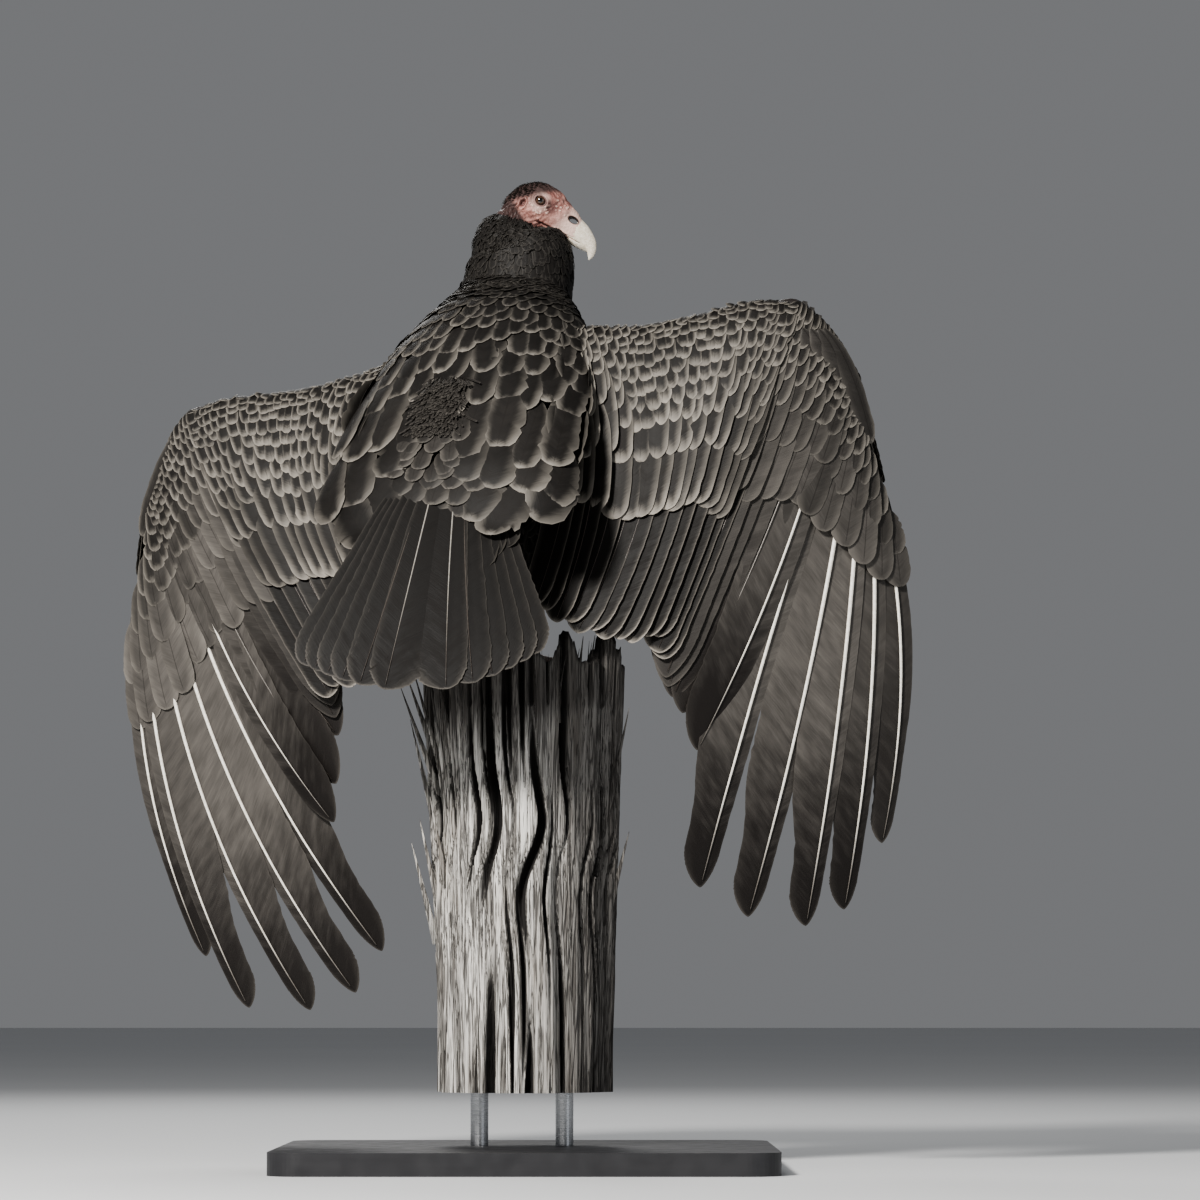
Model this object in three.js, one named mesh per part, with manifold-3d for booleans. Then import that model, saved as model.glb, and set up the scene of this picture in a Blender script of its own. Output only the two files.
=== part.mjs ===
// A turkey vulture sunning itself with spread, drooping wings on the broken top of a weathered trunk.
// A still, life-size display model: the cut length of trunk stands on two short rods over a flat base.
// Millimetres, +Z up. The bird faces +Y and a little towards +X, its back towards -Y.
// The origin is on the underside of the base, below the axis of the trunk.
import * as THREE from "three";
import { mergeVertices } from "three/addons/utils/BufferGeometryUtils.js";
import Module from "manifold-3d";

const wasm = await Module();
wasm.setup();
const { Manifold } = wasm;

const V = (x, y, z) => new THREE.Vector3(x, y, z);
const UP = V(0, 0, 1);

// ---- driving dimensions -------------------------------------------------------------------------
const GAP = 0.35; // between two pieces that meet
const BODY_YAW = 18; // degrees, clockwise from +Y seen from above
const VANE = 1.5; // thickness of a feather blade at its shaft
const PERCH_TOP = 448;
const PERCH_BOTTOM = 68;
const PERCH_AXIS = { x: -5, y: 14 };
const PERCH_RADIUS = { top: 88, bottom: 76 };
const BASE = { width: 440, depth: 400, height: 20, corner: 30 };
const ROD = { radius: 8, spacing: 76, deep: 60 };

const yaw = THREE.MathUtils.degToRad(BODY_YAW);
const FORWARD = V(Math.sin(yaw), Math.cos(yaw), 0);
const RIGHT = V(Math.cos(yaw), -Math.sin(yaw), 0);

const HEAD = { centre: V(2, 98, 884), dip: 30 }; // the head is turned to the bird's right
const EYE = { forward: 5.5, up: 6, side: 12.2, radius: 6 };
const CERE_END = 49; // the horny bill starts here, forward of the head's centre

// ---- finishes -----------------------------------------------------------------------------------
const finish = (hex, roughness, metalness = 0) =>
  new THREE.MeshStandardMaterial({ color: hex, roughness, metalness });
const FINISH = {
  plumage: finish(0x2a2420, 0.7),
  quills: finish(0x3a3430, 0.6),
  skin: finish(0x9c4a44, 0.55),
  horn: finish(0xe4dccb, 0.4),
  eye: finish(0x1a120c, 0.1),
  shank: finish(0xa8918a, 0.6),
  claw: finish(0x1c1a19, 0.4),
  wood: finish(0x9a948b, 0.9),
  base: finish(0x2b2b2d, 0.6),
  rod: finish(0x77797c, 0.35, 0.9),
};

// ---- shared steps -------------------------------------------------------------------------------
const root = new THREE.Group();

// Moves every point of a three.js geometry with a function, which keeps it closed.
function warp(geometry, place) {
  const at = geometry.getAttribute("position");
  const v = new THREE.Vector3();
  for (let i = 0; i < at.count; i++) {
    v.copy(place(v.fromBufferAttribute(at, i)));
    at.setXYZ(i, v.x, v.y, v.z);
  }
  return geometry;
}

function solid(geometry) {
  geometry.deleteAttribute("normal");
  geometry.deleteAttribute("uv");
  const merged = mergeVertices(geometry, 1e-3);
  const triVerts = new Uint32Array(merged.index.array);
  const vertProperties = merged.getAttribute("position").array;
  const made = new Manifold(new wasm.Mesh({ numProp: 3, vertProperties, triVerts }));
  if (made.volume() > 0) return made;
  for (let i = 0; i < triVerts.length; i += 3)
    [triVerts[i + 1], triVerts[i + 2]] = [triVerts[i + 2], triVerts[i + 1]];
  return new Manifold(new wasm.Mesh({ numProp: 3, vertProperties, triVerts }));
}

// A solid with the gap kept clear of it on every side.
function room(s, gap = GAP) {
  const ways = [[1, 0, 0], [-1, 0, 0], [0, 1, 0], [0, -1, 0], [0, 0, 1], [0, 0, -1]];
  return Manifold.union([s, ...ways.map((way) => s.translate(way.map((x) => x * gap)))]);
}

// The largest body of a solid that a cut may have left in several.
const largest = (s) =>
  s.decompose().reduce((best, b) => (b.volume() > best.volume() ? b : best));

function add(name, s, material) {
  const mesh = s.getMesh();
  const geometry = new THREE.BufferGeometry();
  geometry.setAttribute("position", new THREE.BufferAttribute(mesh.vertProperties, mesh.numProp));
  geometry.setIndex(new THREE.BufferAttribute(mesh.triVerts, 1));
  geometry.computeVertexNormals();
  const made = new THREE.Mesh(geometry, material);
  made.name = name;
  root.add(made);
}

// Reads a table whose rows are [position, value, value, ...] as smooth functions of position.
function profile(rows) {
  return (at, column) => {
    const last = rows.length - 1;
    const x = THREE.MathUtils.clamp(at, rows[0][0], rows[last][0]);
    let i = 0;
    while (i < last - 1 && x > rows[i + 1][0]) i++;
    const slope = (k) => {
      const a = rows[Math.max(k - 1, 0)];
      const b = rows[Math.min(k + 1, last)];
      return (b[column] - a[column]) / (b[0] - a[0]);
    };
    const width = rows[i + 1][0] - rows[i][0];
    const s = (x - rows[i][0]) / width;
    const [p, q] = [rows[i][column], rows[i + 1][column]];
    const [m, n] = [slope(i) * width, slope(i + 1) * width];
    return (
      (2 * s ** 3 - 3 * s ** 2 + 1) * p +
      (s ** 3 - 2 * s ** 2 + s) * m +
      (3 * s ** 2 - 2 * s ** 3) * q +
      (s ** 3 - s ** 2) * n
    );
  };
}

// A closed form round a path: section(t, angle) gives its reach to the side and upwards.
function loft(path, side, section, sides, rings) {
  const body = new THREE.CylinderGeometry(1, 1, 1, sides, rings);
  return solid(
    warp(body, (v) => {
      const t = v.y + 0.5;
      const reach = Math.hypot(v.x, v.z);
      const along = path.getTangent(t);
      const across = side.clone().addScaledVector(along, -side.dot(along)).normalize();
      const up = across.clone().cross(along);
      const [x, z] = section(t, Math.atan2(v.z, v.x));
      return path.getPoint(t).addScaledVector(across, x * reach).addScaledVector(up, z * reach);
    }),
  );
}

const round = (radii) => {
  const r = profile(radii);
  return (t, angle) => [r(t, 1) * Math.cos(angle), r(t, 1) * Math.sin(angle)];
};

const curve = (...points) => new THREE.CatmullRomCurve3(points);

// ---- torso, with the cape of shoulder feathers over its back --------------------------
const SPINE = curve(V(-82, -98, 556), V(-71, -60, 601), V(-44, 15, 692), V(-22, 65, 759), V(-14, 85, 794));
// Along the spine: half width of the belly, of the cape, height above and depth below the spine.
const TORSO = profile([
  [0, 34, 84, 11, 12],
  [0.15, 46, 110, 24, 34],
  [0.35, 62, 114, 40, 58],
  [0.55, 72, 103, 47, 70],
  [0.75, 66, 80, 46, 66],
  [0.9, 58, 63, 41, 54],
  [1, 50, 53, 37, 44],
]);

const torsoSection = (t, angle) => {
  const [c, s] = [Math.cos(angle), Math.sin(angle)];
  const cape = THREE.MathUtils.smoothstep(s, -0.35, 0.25);
  const wide = THREE.MathUtils.lerp(TORSO(t, 1), TORSO(t, 2), cape);
  return [wide * c, (s > 0 ? TORSO(t, 3) : TORSO(t, 4)) * s];
};
const torso = loft(SPINE, RIGHT, torsoSection, 20, 9);
const torsoRoom = room(torso);

// ---- neck, in its ruff, and head -------------------------------------------------------------------
const neckPath = curve(V(-14, 85, 789), V(-9, 95, 831), V(-14, 98, 852), V(-8, 98, 876));
const neckSection = (t, angle) => {
  const wide = profile([[0, 51, 44], [0.45, 46, 42], [0.75, 33, 33], [1, 20, 20]]);
  return [wide(t, 1) * Math.cos(angle), wide(t, 2) * Math.sin(angle)];
};
const neckWhole = loft(neckPath, RIGHT, neckSection, 16, 5);

const dip = THREE.MathUtils.degToRad(HEAD.dip);
const LOOK = V(Math.cos(dip), 0, -Math.sin(dip));
const CROWN = V(Math.sin(dip), 0, Math.cos(dip));
const LEFT_CHEEK = V(0, 1, 0);
const onHead = (forward, up, side) => {
  const at = HEAD.centre.clone().addScaledVector(LOOK, forward);
  return at.addScaledVector(CROWN, up).addScaledVector(LEFT_CHEEK, side);
};

// Forward from the head's centre: crown line, chin line and half width.
const HEAD_LINE = profile([
  [-24, -4, -15, 8],
  [-20, 7, -18, 14],
  [-11, 18, -19, 17.5],
  [0, 24, -19, 18.5],
  [12, 25, -17, 17],
  [22, 23, -15, 13.5],
  [35, 16.5, -14, 9.5],
  [48, 11, -13.5, 7.5],
  [61, 4.5, -13.5, 5.5],
  [68, -3, -14, 3.4],
  [70, -9, -15, 2],
]);
const HEAD_ENDS = { back: -24, front: 70 };
const headSection = (t, angle) => {
  const forward = THREE.MathUtils.lerp(HEAD_ENDS.back, HEAD_ENDS.front, t);
  const [top, chin] = [HEAD_LINE(forward, 1), HEAD_LINE(forward, 2)];
  const [middle, half] = [(top + chin) / 2, (top - chin) / 2];
  return [HEAD_LINE(forward, 3) * Math.cos(angle), middle + half * Math.sin(angle)];
};
// A section's middle is off the path, so the loft's own centre is moved there too.
function headForm() {
  const body = new THREE.CylinderGeometry(1, 1, 1, 14, 10);
  return solid(
    warp(body, (v) => {
      const t = v.y + 0.5;
      const reach = Math.hypot(v.x, v.z);
      const [x, z] = headSection(t, Math.atan2(v.z, v.x));
      const middle = headSection(t, 0)[1];
      const forward = THREE.MathUtils.lerp(HEAD_ENDS.back, HEAD_ENDS.front, t);
      return onHead(forward, middle + (z - middle) * reach, -x * reach);
    }),
  );
}
// The hook of the upper bill turns down past the lower one.
const hook = loft(
  curve(onHead(60, -4, 0), onHead(67, -7, 0), onHead(69.5, -13, 0), onHead(68.5, -18, 0)),
  LEFT_CHEEK,
  round([[0, 5], [0.5, 3.6], [1, 0.9]]),
  8,
  4,
);
const headWhole = Manifold.union([headForm(), hook]);

const plane = (point, normal, offset) => [[normal.x, normal.y, normal.z], normal.dot(point) + offset];
const keepAbove = (s, point, normal, gap = 0) => s.trimByPlane(...plane(point, normal, gap));
const keepBelow = (s, point, normal, gap = 0) => {
  const back = normal.clone().negate();
  return s.trimByPlane(...plane(point, back, gap));
};

const eyeAt = (side) => onHead(EYE.forward, EYE.up, side * EYE.side);
const eyeball = (side, radius) => {
  const ball = new THREE.SphereGeometry(radius, 10, 7);
  ball.translate(...eyeAt(side));
  return solid(ball);
};

// The ruff of the neck stops under the head on a plane that falls to the throat.
const ruffRim = { point: V(-8, 98, 853), normal: V(0.2, 0, 0.98).normalize() };
const skull = keepBelow(headWhole, onHead(CERE_END, 0, 0), LOOK, GAP / 2);
const bill = keepAbove(headWhole, onHead(CERE_END, 0, 0), LOOK, GAP / 2);
const head = largest(
  Manifold.difference([
    keepAbove(Manifold.union([skull, neckWhole]), ruffRim.point, ruffRim.normal, GAP / 2),
    eyeball(1, EYE.radius + GAP),
    eyeball(-1, EYE.radius + GAP),
  ]),
);
const neck = largest(keepBelow(neckWhole.subtract(torsoRoom), ruffRim.point, ruffRim.normal, GAP / 2));

// The mouth line runs from under the cere to the hook.
const mouth = { point: onHead(56, -8.5, 0), normal: CROWN.clone().addScaledVector(LOOK, 0.06).normalize() };
add("head", head, FINISH.skin);
const HOOK_START = 66;
const overMouth = keepAbove(bill, mouth.point, mouth.normal, GAP / 2);
const underMouth = keepBelow(bill, mouth.point, mouth.normal, GAP / 2);
const hookTip = keepAbove(underMouth, onHead(HOOK_START, 0, 0), LOOK);
add("bill_upper", largest(overMouth.add(hookTip)), FINISH.horn);
add("bill_lower", largest(keepBelow(underMouth, onHead(HOOK_START, 0, 0), LOOK, GAP)), FINISH.horn);
add("eye_left", eyeball(1, EYE.radius), FINISH.eye);
add("eye_right", eyeball(-1, EYE.radius), FINISH.eye);
add("neck", neck, FINISH.plumage);
add("torso", torso, FINISH.plumage);

// ---- feather blades ------------------------------------------------------------------------------
// One blade along a bowed line from root to tip, of which the share before start is left out.
// width(v) is its half width at share v of what is left.
function blade({ root: from, tip, normal, width, start = 0, bow = 0, arch = 0, steps = 6 }) {
  const along = tip.clone().sub(from).normalize();
  const across = along.clone().cross(normal).normalize();
  const face = across.clone().cross(along);
  const sheet = new THREE.BoxGeometry(1, 1, 1, 1, steps, 1);
  return solid(
    warp(sheet, (p) => {
      const v = p.y + 0.5;
      const share = start + (1 - start) * v;
      const hump = 4 * share * (1 - share);
      const at = from.clone().lerp(tip, share).addScaledVector(across, bow * hump + 2 * p.x * width(v));
      return at.addScaledVector(face, arch * hump + p.z * VANE);
    }),
  );
}

// A blade widens from its root and rounds off over its last fifth.
const roundTip = (half) => (v) => {
  const past = Math.max(0, v - 0.8);
  return half * Math.min(1, 0.45 + v) * Math.sqrt(1 - 20 * past ** 2);
};
// An outer primary is broad to its notch and narrow from there to its point.
const notched = (half, narrow) => (v) => {
  const waist = THREE.MathUtils.smoothstep(v, 0.55, 0.78);
  const point = Math.sqrt(Math.max(0.04, 1 - (Math.max(0, v - 0.8) / 0.2) ** 2));
  return THREE.MathUtils.lerp(half * Math.min(1, 0.4 + v), narrow, waist) * point;
};

// ---- tail ----------------------------------------------------------------------------------------
const TAIL = {
  root: V(-70, -78, 622),
  tip: V(-85, -190, 413),
  feathers: 12,
  half: 22,
  bunch: 0.56, // the feathers stand closer together towards the sides of the fan
  rootSpread: 32, // to each side of the middle
  tipSpread: 102,
  aside: -9, // how far the fan's middle is moved to the right
  short: { left: 30, right: 44 }, // by how much the outermost are shorter
  layer: 1.1, // each feather lies under the one inside it
};
const tailAlong = TAIL.tip.clone().sub(TAIL.root);
const tailAcross = V(0.97, -0.12, -0.02).normalize();
const tailFace = tailAcross.clone().cross(tailAlong).normalize().negate();

function rectrix(i) {
  const middle = (TAIL.feathers - 1) / 2;
  const side = (i - middle) / middle;
  const share = Math.sign(side) * Math.abs(side) ** TAIL.bunch;
  const lower = -TAIL.layer * Math.abs(i - middle);
  const short = share ** 2 * (share > 0 ? TAIL.short.right : TAIL.short.left);
  const tip = TAIL.tip.clone().addScaledVector(tailAcross, share * TAIL.tipSpread + TAIL.aside);
  tip.addScaledVector(tailAlong.clone().normalize(), -short).addScaledVector(tailFace, lower);
  const from = TAIL.root.clone().addScaledVector(tailAcross, share * TAIL.rootSpread);
  from.addScaledVector(tailFace, lower);
  const form = { width: roundTip(TAIL.half), bow: share * -5, arch: 6, steps: 3 };
  return blade({ root: from, tip, normal: tailFace, ...form });
}
const tail = largest(
  Manifold.union(Array.from({ length: TAIL.feathers }, (_, i) => rectrix(i))).subtract(torsoRoom),
);
add("tail", tail, FINISH.quills);

// ---- wings ---------------------------------------------------------------------------------------
// A wing hangs from its leading edge. lead: points of that edge from the shoulder to the wrist, then to the
// end of the hand. tips: ends of the flight feathers under the same points, then of the ten primaries.
const WINGS = {
  right: {
    side: 1,
    arm: {
      lead: [
        V(20, 45, 748), V(51, 30, 758), V(101, 20, 758), V(155, 10, 767), V(210, 0, 779), V(247, -5, 775),
      ],
      tips: [
        V(8, -47, 502), V(30, -52, 482), V(54, -52, 475), V(84, -50, 471), V(112, -45, 472), V(121, -40, 456),
      ],
    },
    hand: [
      V(247, -5, 775), V(264, -6, 760), V(283, -4, 737), V(299, 2, 704), V(311, 10, 668), V(325, 24, 618),
    ],
    primaries: [
      [V(123, -35, 436), 4], [V(125, -32, 428), 5], [V(129, -30, 419), 6], [V(138, -28, 405), 7],
      [V(151, -25, 372), 8], [V(154, -10, 250), -8], [V(197, 0, 224), 5], [V(249, 10, 216), 4],
      [V(284, 20, 231), 9], [V(319, 30, 291), 15],
    ],
  },
  left: {
    side: -1,
    arm: {
      lead: [
        V(-66, 88, 752), V(-100, 106, 742), V(-150, 122, 728), V(-200, 138, 718), V(-240, 150, 713),
        V(-290, 163, 709), V(-321, 172, 698),
      ],
      tips: [
        V(-70, -45, 560), V(-90, -20, 520), V(-106, 10, 488), V(-122, 35, 468), V(-140, 45, 455),
        V(-162, 58, 438), V(-182, 70, 428),
      ],
    },
    hand: [
      V(-321, 172, 698), V(-333, 175, 685), V(-346, 181, 658), V(-358, 190, 629), V(-368, 200, 600),
      V(-376, 214, 552),
    ],
    primaries: [
      [V(-180, 80, 419), 6], [V(-177, 85, 408), 8], [V(-175, 90, 392), 10], [V(-177, 95, 348), 14],
      [V(-179, 100, 313), 18], [V(-135, 110, 195), 24], [V(-160, 130, 157), 30], [V(-203, 150, 141), 31],
      [V(-261, 170, 143), 27], [V(-303, 190, 191), 22],
    ],
  },
};
const SECONDARIES = 12;
// Share of the chord under coverts, half thickness there, share where the blades start, camber.
const ARM = { covered: 0.6, thick: 13, quill: 0.5, arch: 8, first: 0.08, half: 17 };
const HAND = { covered: 0.32, thick: 9, quill: 0.14, arch: 12, inset: 10, half: 20, fan: 0.12 };
const PAD = { edge: 1.3, under: 0.6 }; // half thickness at its rims, and the hollow side's share of it
// The five outermost primaries: half width before the notch, and of the finger beyond it.
const PRIMARY = { half: [24, 24, 24, 22, 12], finger: [17, 16, 15, 14, 11] };

// The fleshy and covert-clad front of a wing: a cambered pad from the leading edge back over the quills.
function pad(leads, tips, faceAt, { covered, thick, arch }, steps) {
  const sheet = new THREE.BoxGeometry(1, 1, 1, steps, 4, 1);
  return solid(
    warp(sheet, (p) => {
      const a = p.x + 0.5;
      const d = (p.y + 0.5) ** 1.4;
      const lead = leads.getPoint(a);
      const chord = tips.getPoint(a).sub(lead);
      const swell = thick * Math.sin(Math.PI * Math.sqrt(d)) ** 0.8 * (p.z > 0 ? 1 : PAD.under) + PAD.edge;
      const share = d * covered;
      const hump = 4 * arch * share * (1 - share);
      return lead.addScaledVector(chord, share).addScaledVector(faceAt(a), 2 * p.z * swell + hump);
    }),
  );
}

function wing(name, { side, arm, hand, primaries }) {
  const armLead = curve(...arm.lead);
  const armTips = curve(...arm.tips);
  const handLead = curve(...hand);
  const faceOf = (leads, tips) => (a) => {
    const chord = tips.getPoint(a).sub(leads.getPoint(a)).normalize();
    const span = leads.getTangent(a).multiplyScalar(side);
    return span.cross(chord).normalize().multiplyScalar(-1);
  };
  const armFace = faceOf(armLead, armTips);
  const secondary = (i) => {
    const a = ARM.first + ((1 - ARM.first) * i) / (SECONDARIES - 1);
    const [lead, tip, normal] = [armLead.getPoint(a), armTips.getPoint(a), armFace(a)];
    const form = { width: roundTip(ARM.half), start: ARM.quill, arch: ARM.arch, steps: 2 };
    return blade({ root: lead, tip, normal, ...form });
  };
  const handTips = curve(...primaries.map(([tip]) => tip));
  // The blades of the hand lie in the fan that they spread: its slope is taken half way down them.
  const halfWay = (a) => {
    const share = THREE.MathUtils.clamp(a, 0, 1);
    return handLead.getPoint(share).lerp(handTips.getPoint(share), 0.5);
  };
  const handFace = (a) => {
    const chord = handTips.getPoint(a).sub(handLead.getPoint(a)).normalize();
    const across = halfWay(a + HAND.fan).sub(halfWay(a - HAND.fan)).multiplyScalar(side);
    return across.cross(chord).normalize().multiplyScalar(-1);
  };
  const primary = ([tip, bow], i) => {
    const a = 0.1 + (0.9 * i) / (primaries.length - 1);
    const from = handLead.getPoint(a).addScaledVector(RIGHT, -side * HAND.inset);
    const width = i < 5 ? roundTip(HAND.half) : notched(PRIMARY.half[i - 5], PRIMARY.finger[i - 5]);
    const form = { start: HAND.quill, bow: -bow * side, arch: HAND.arch, steps: i < 5 ? 3 : 6 };
    return blade({ root: from, tip, normal: handFace(a), width, ...form });
  };
  // The hand is cut from the arm between the last secondary and the first primary.
  const wrist = arm.lead.at(-1);
  const between = armTips.getPoint(1).lerp(primaries[0][0], 0.5);
  const cutNormal = between.clone().sub(wrist).cross(armFace(1)).normalize().multiplyScalar(-side);
  const armWhole = Manifold.union([
    pad(armLead, armTips, armFace, ARM, 6),
    ...Array.from({ length: SECONDARIES }, (_, i) => secondary(i)),
  ]);
  const handWhole = Manifold.union([
    pad(handLead, handTips, handFace, HAND, 5),
    ...primaries.map(primary),
  ]);
  const outward = cutNormal.dot(V(side, 0, 0)) > 0 ? cutNormal : cutNormal.clone().negate();
  const armAlone = largest(keepBelow(armWhole.subtract(torsoRoom), wrist, outward, GAP / 2));
  add(`wing_${name}_arm`, armAlone, FINISH.plumage);
  add(`wing_${name}_hand`, largest(keepAbove(handWhole, wrist, outward, GAP / 2)), FINISH.quills);
  return room(armAlone);
}
const armRoom = { right: wing("right", WINGS.right), left: wing("left", WINGS.left) };

// ---- legs and feet -------------------------------------------------------------------------------
const LEGS = { right: V(3, 0, PERCH_TOP), left: V(-55, 19, PERCH_TOP) };
const TOE_RADIUS = 4.6;
const ANKLE_RISE = 80;
const HIP_RISE = 212;
// Each toe: turn from straight ahead in degrees, length in mm.
const TOES = [[-26, 44], [2, 60], [30, 42], [172, 22]];

function leg(name, foot) {
  const at = (forward, right, up) =>
    foot.clone().addScaledVector(FORWARD, forward).addScaledVector(RIGHT, right).addScaledVector(UP, up);
  const ankle = at(-16, 0, ANKLE_RISE);
  const hip = at(0, name === "right" ? 3 : -3, HIP_RISE);
  const thighPath = curve(hip, at(16, name === "right" ? 2 : -2, 172), at(6, 0, 132), ankle);
  const thighRadius = round([[0, 20], [0.2, 29], [0.5, 25], [0.85, 14], [1, 8]]);
  const thighWhole = loft(thighPath, RIGHT, thighRadius, 10, 5);
  const rise = ankle.clone().sub(at(6, 0, 132)).normalize();
  const cut = ankle.clone().addScaledVector(rise, -4);
  const thighFree = thighWhole.subtract(torsoRoom).subtract(armRoom[name]);
  add(`thigh_${name}`, largest(keepBelow(thighFree, cut, rise, GAP / 2)), FINISH.plumage);

  const base = at(0, 0, TOE_RADIUS + GAP + 6);
  const shankPath = curve(at(-17, 0, ANKLE_RISE + 5), at(-10, 0, 45), base);
  const shankRadius = round([[0, 6.2], [0.2, 6.4], [0.5, 4.6], [0.85, 5], [1, 6]]);
  const shankWhole = loft(shankPath, RIGHT, shankRadius, 8, 5);
  const fall = base.clone().sub(at(-10, 0, 45)).normalize();
  const footCut = base.clone().addScaledVector(fall, -8);
  const shankFree = keepBelow(keepAbove(shankWhole, cut, rise, GAP / 2), footCut, fall, GAP / 2);
  add(`shank_${name}`, largest(shankFree), FINISH.shank);

  const ball = new THREE.SphereGeometry(7, 7, 5);
  ball.translate(...base);
  const parts = [keepAbove(shankWhole, footCut, fall, GAP / 2), solid(ball)];
  const claws = [];
  TOES.forEach(([turn, length], i) => {
    const angle = THREE.MathUtils.degToRad(turn);
    const way = (reach, up) => at(reach * Math.cos(angle), reach * Math.sin(angle), up);
    const low = TOE_RADIUS + GAP;
    const toePath = curve(
      way(0, low + 4), way(length * 0.3, low + 2.5), way(length * 0.65, low + 1), way(length, low + 0.6),
    );
    const pads = round([[0, 5], [0.3, 4.2], [0.5, 3.6], [0.7, 4], [1, 3.2]]);
    const tipCut = way(length - 1.5, low);
    const ahead = way(1, 0).sub(way(0, 0)).normalize();
    parts.push(keepBelow(loft(toePath, UP, pads, 5, 3), tipCut, ahead, GAP / 2));
    const clawPath = curve(
      way(length - 4, low + 0.8), way(length + 3, low + 2.6), way(length + 9, low + 0.6), way(length + 12, 1.3),
    );
    const nail = loft(clawPath, UP, round([[0, 2.9], [0.4, 2.5], [1, 0.6]]), 5, 3);
    claws.push(keepAbove(nail, tipCut, ahead, GAP / 2));
  });
  add(`foot_${name}`, Manifold.union(parts), FINISH.shank);
  claws.forEach((s, i) => add(`claw_${name}_${i + 1}`, s, FINISH.claw));
}
leg("right", LEGS.right);
leg("left", LEGS.left);

// ---- perch: the broken top of a dead trunk --------------------------------------------------------
// The rim stands up round the broken top: angle in degrees, half width in degrees, height above the top.
const SPIKES = [
  [18, 13, 16], [150, 16, 14], [182, 12, 22], [212, 14, 12], [246, 12, 24], [275, 10, 15], [299, 11, 30],
  [334, 11, 34],
];
const FLOOR_SHARE = 0.86; // of the radius, where the footing inside the rim begins
const RIDGES = [[3, 0.035, 0.4], [5, 0.03, 2.1], [9, 0.028, 0.9], [17, 0.018, 3.0]];

function trunkRadius(share, angle) {
  const twist = angle + 0.25 * share;
  const plain = THREE.MathUtils.lerp(PERCH_RADIUS.bottom, PERCH_RADIUS.top, share ** 1.3);
  return plain * RIDGES.reduce((sum, [n, size, phase]) => sum + size * Math.sin(n * twist + phase), 1);
}

function rimHeight(angle) {
  const degrees = THREE.MathUtils.radToDeg(angle);
  return SPIKES.reduce((high, [at, half, height]) => {
    const off = Math.abs(((degrees - at + 540) % 360) - 180);
    return Math.max(high, height * (1 - off / half));
  }, -3);
}

function perch() {
  const outline = [[0, 0], [1, 0], [1, 0.35], [1, 0.7], [1, 1], [FLOOR_SHARE, 0.999], [0, 1]];
  const lathe = new THREE.LatheGeometry(outline.map(([r, z]) => new THREE.Vector2(r, z)), 36);
  const bole = solid(
    warp(lathe, (v) => {
      const share = v.y;
      const angle = Math.atan2(v.z, v.x);
      const reach = Math.hypot(v.x, v.z);
      const r = reach * trunkRadius(share, angle);
      const rim = share === 1 && reach > FLOOR_SHARE ? rimHeight(angle) : 0;
      const z = THREE.MathUtils.lerp(PERCH_BOTTOM, PERCH_TOP, Math.round(share * 100) / 100);
      return V(PERCH_AXIS.x + r * Math.cos(angle), PERCH_AXIS.y + r * Math.sin(angle), z + rim);
    }),
  );
  return bole.subtract(Manifold.union([rod(-1, GAP), rod(1, GAP)]));
}

// ---- display stand --------------------------------------------------------------------------------
function rod(side, grow) {
  const length = PERCH_BOTTOM - BASE.height + ROD.deep;
  const bar = new THREE.CylinderGeometry(ROD.radius + grow, ROD.radius + grow, length + 2 * grow, 24);
  bar.rotateX(Math.PI / 2);
  bar.translate((side * ROD.spacing) / 2 + PERCH_AXIS.x, PERCH_AXIS.y, BASE.height + length / 2 + GAP);
  return solid(bar);
}

function standBase() {
  const [w, d, r] = [BASE.width / 2, BASE.depth / 2, BASE.corner];
  const outline = new THREE.Shape();
  outline.moveTo(-w + r, -d);
  outline.absarc(w - r, -d + r, r, -Math.PI / 2, 0);
  outline.absarc(w - r, d - r, r, 0, Math.PI / 2);
  outline.absarc(-w + r, d - r, r, Math.PI / 2, Math.PI);
  outline.absarc(-w + r, -d + r, r, Math.PI, 1.5 * Math.PI);
  const upwards = { depth: BASE.height, bevelEnabled: false, curveSegments: 6 };
  return solid(new THREE.ExtrudeGeometry(outline, upwards));
}
add("perch", perch(), FINISH.wood);
add("stand_base", standBase(), FINISH.base);
add("stand_rod_left", rod(-1, 0), FINISH.rod);
add("stand_rod_right", rod(1, 0), FINISH.rod);

export default root;
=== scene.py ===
import math
import bmesh
import bpy
import numpy as np
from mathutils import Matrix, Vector, noise


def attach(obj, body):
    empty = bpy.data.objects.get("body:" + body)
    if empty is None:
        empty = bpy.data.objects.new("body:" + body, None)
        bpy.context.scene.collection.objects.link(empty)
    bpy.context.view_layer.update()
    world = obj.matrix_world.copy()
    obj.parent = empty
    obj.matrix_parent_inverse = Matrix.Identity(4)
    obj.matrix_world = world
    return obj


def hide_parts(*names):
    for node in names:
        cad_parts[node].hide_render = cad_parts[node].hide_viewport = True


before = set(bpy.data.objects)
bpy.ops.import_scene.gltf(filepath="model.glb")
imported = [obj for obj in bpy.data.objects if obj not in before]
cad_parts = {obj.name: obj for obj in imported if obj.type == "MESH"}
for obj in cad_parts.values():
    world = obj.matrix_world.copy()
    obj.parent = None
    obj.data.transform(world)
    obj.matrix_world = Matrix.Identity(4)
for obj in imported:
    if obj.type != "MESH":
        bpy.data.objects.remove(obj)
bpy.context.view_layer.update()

# ==== Camera, floor and lights ====================================================================
# The bird is looked at from behind and a little from below, across a plain pale floor,
# in soft light that comes from high on the left.
target = Vector((0.0648, 0.0, 0.5085))
distance, rise = 4.2, math.radians(-5.0)


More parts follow.
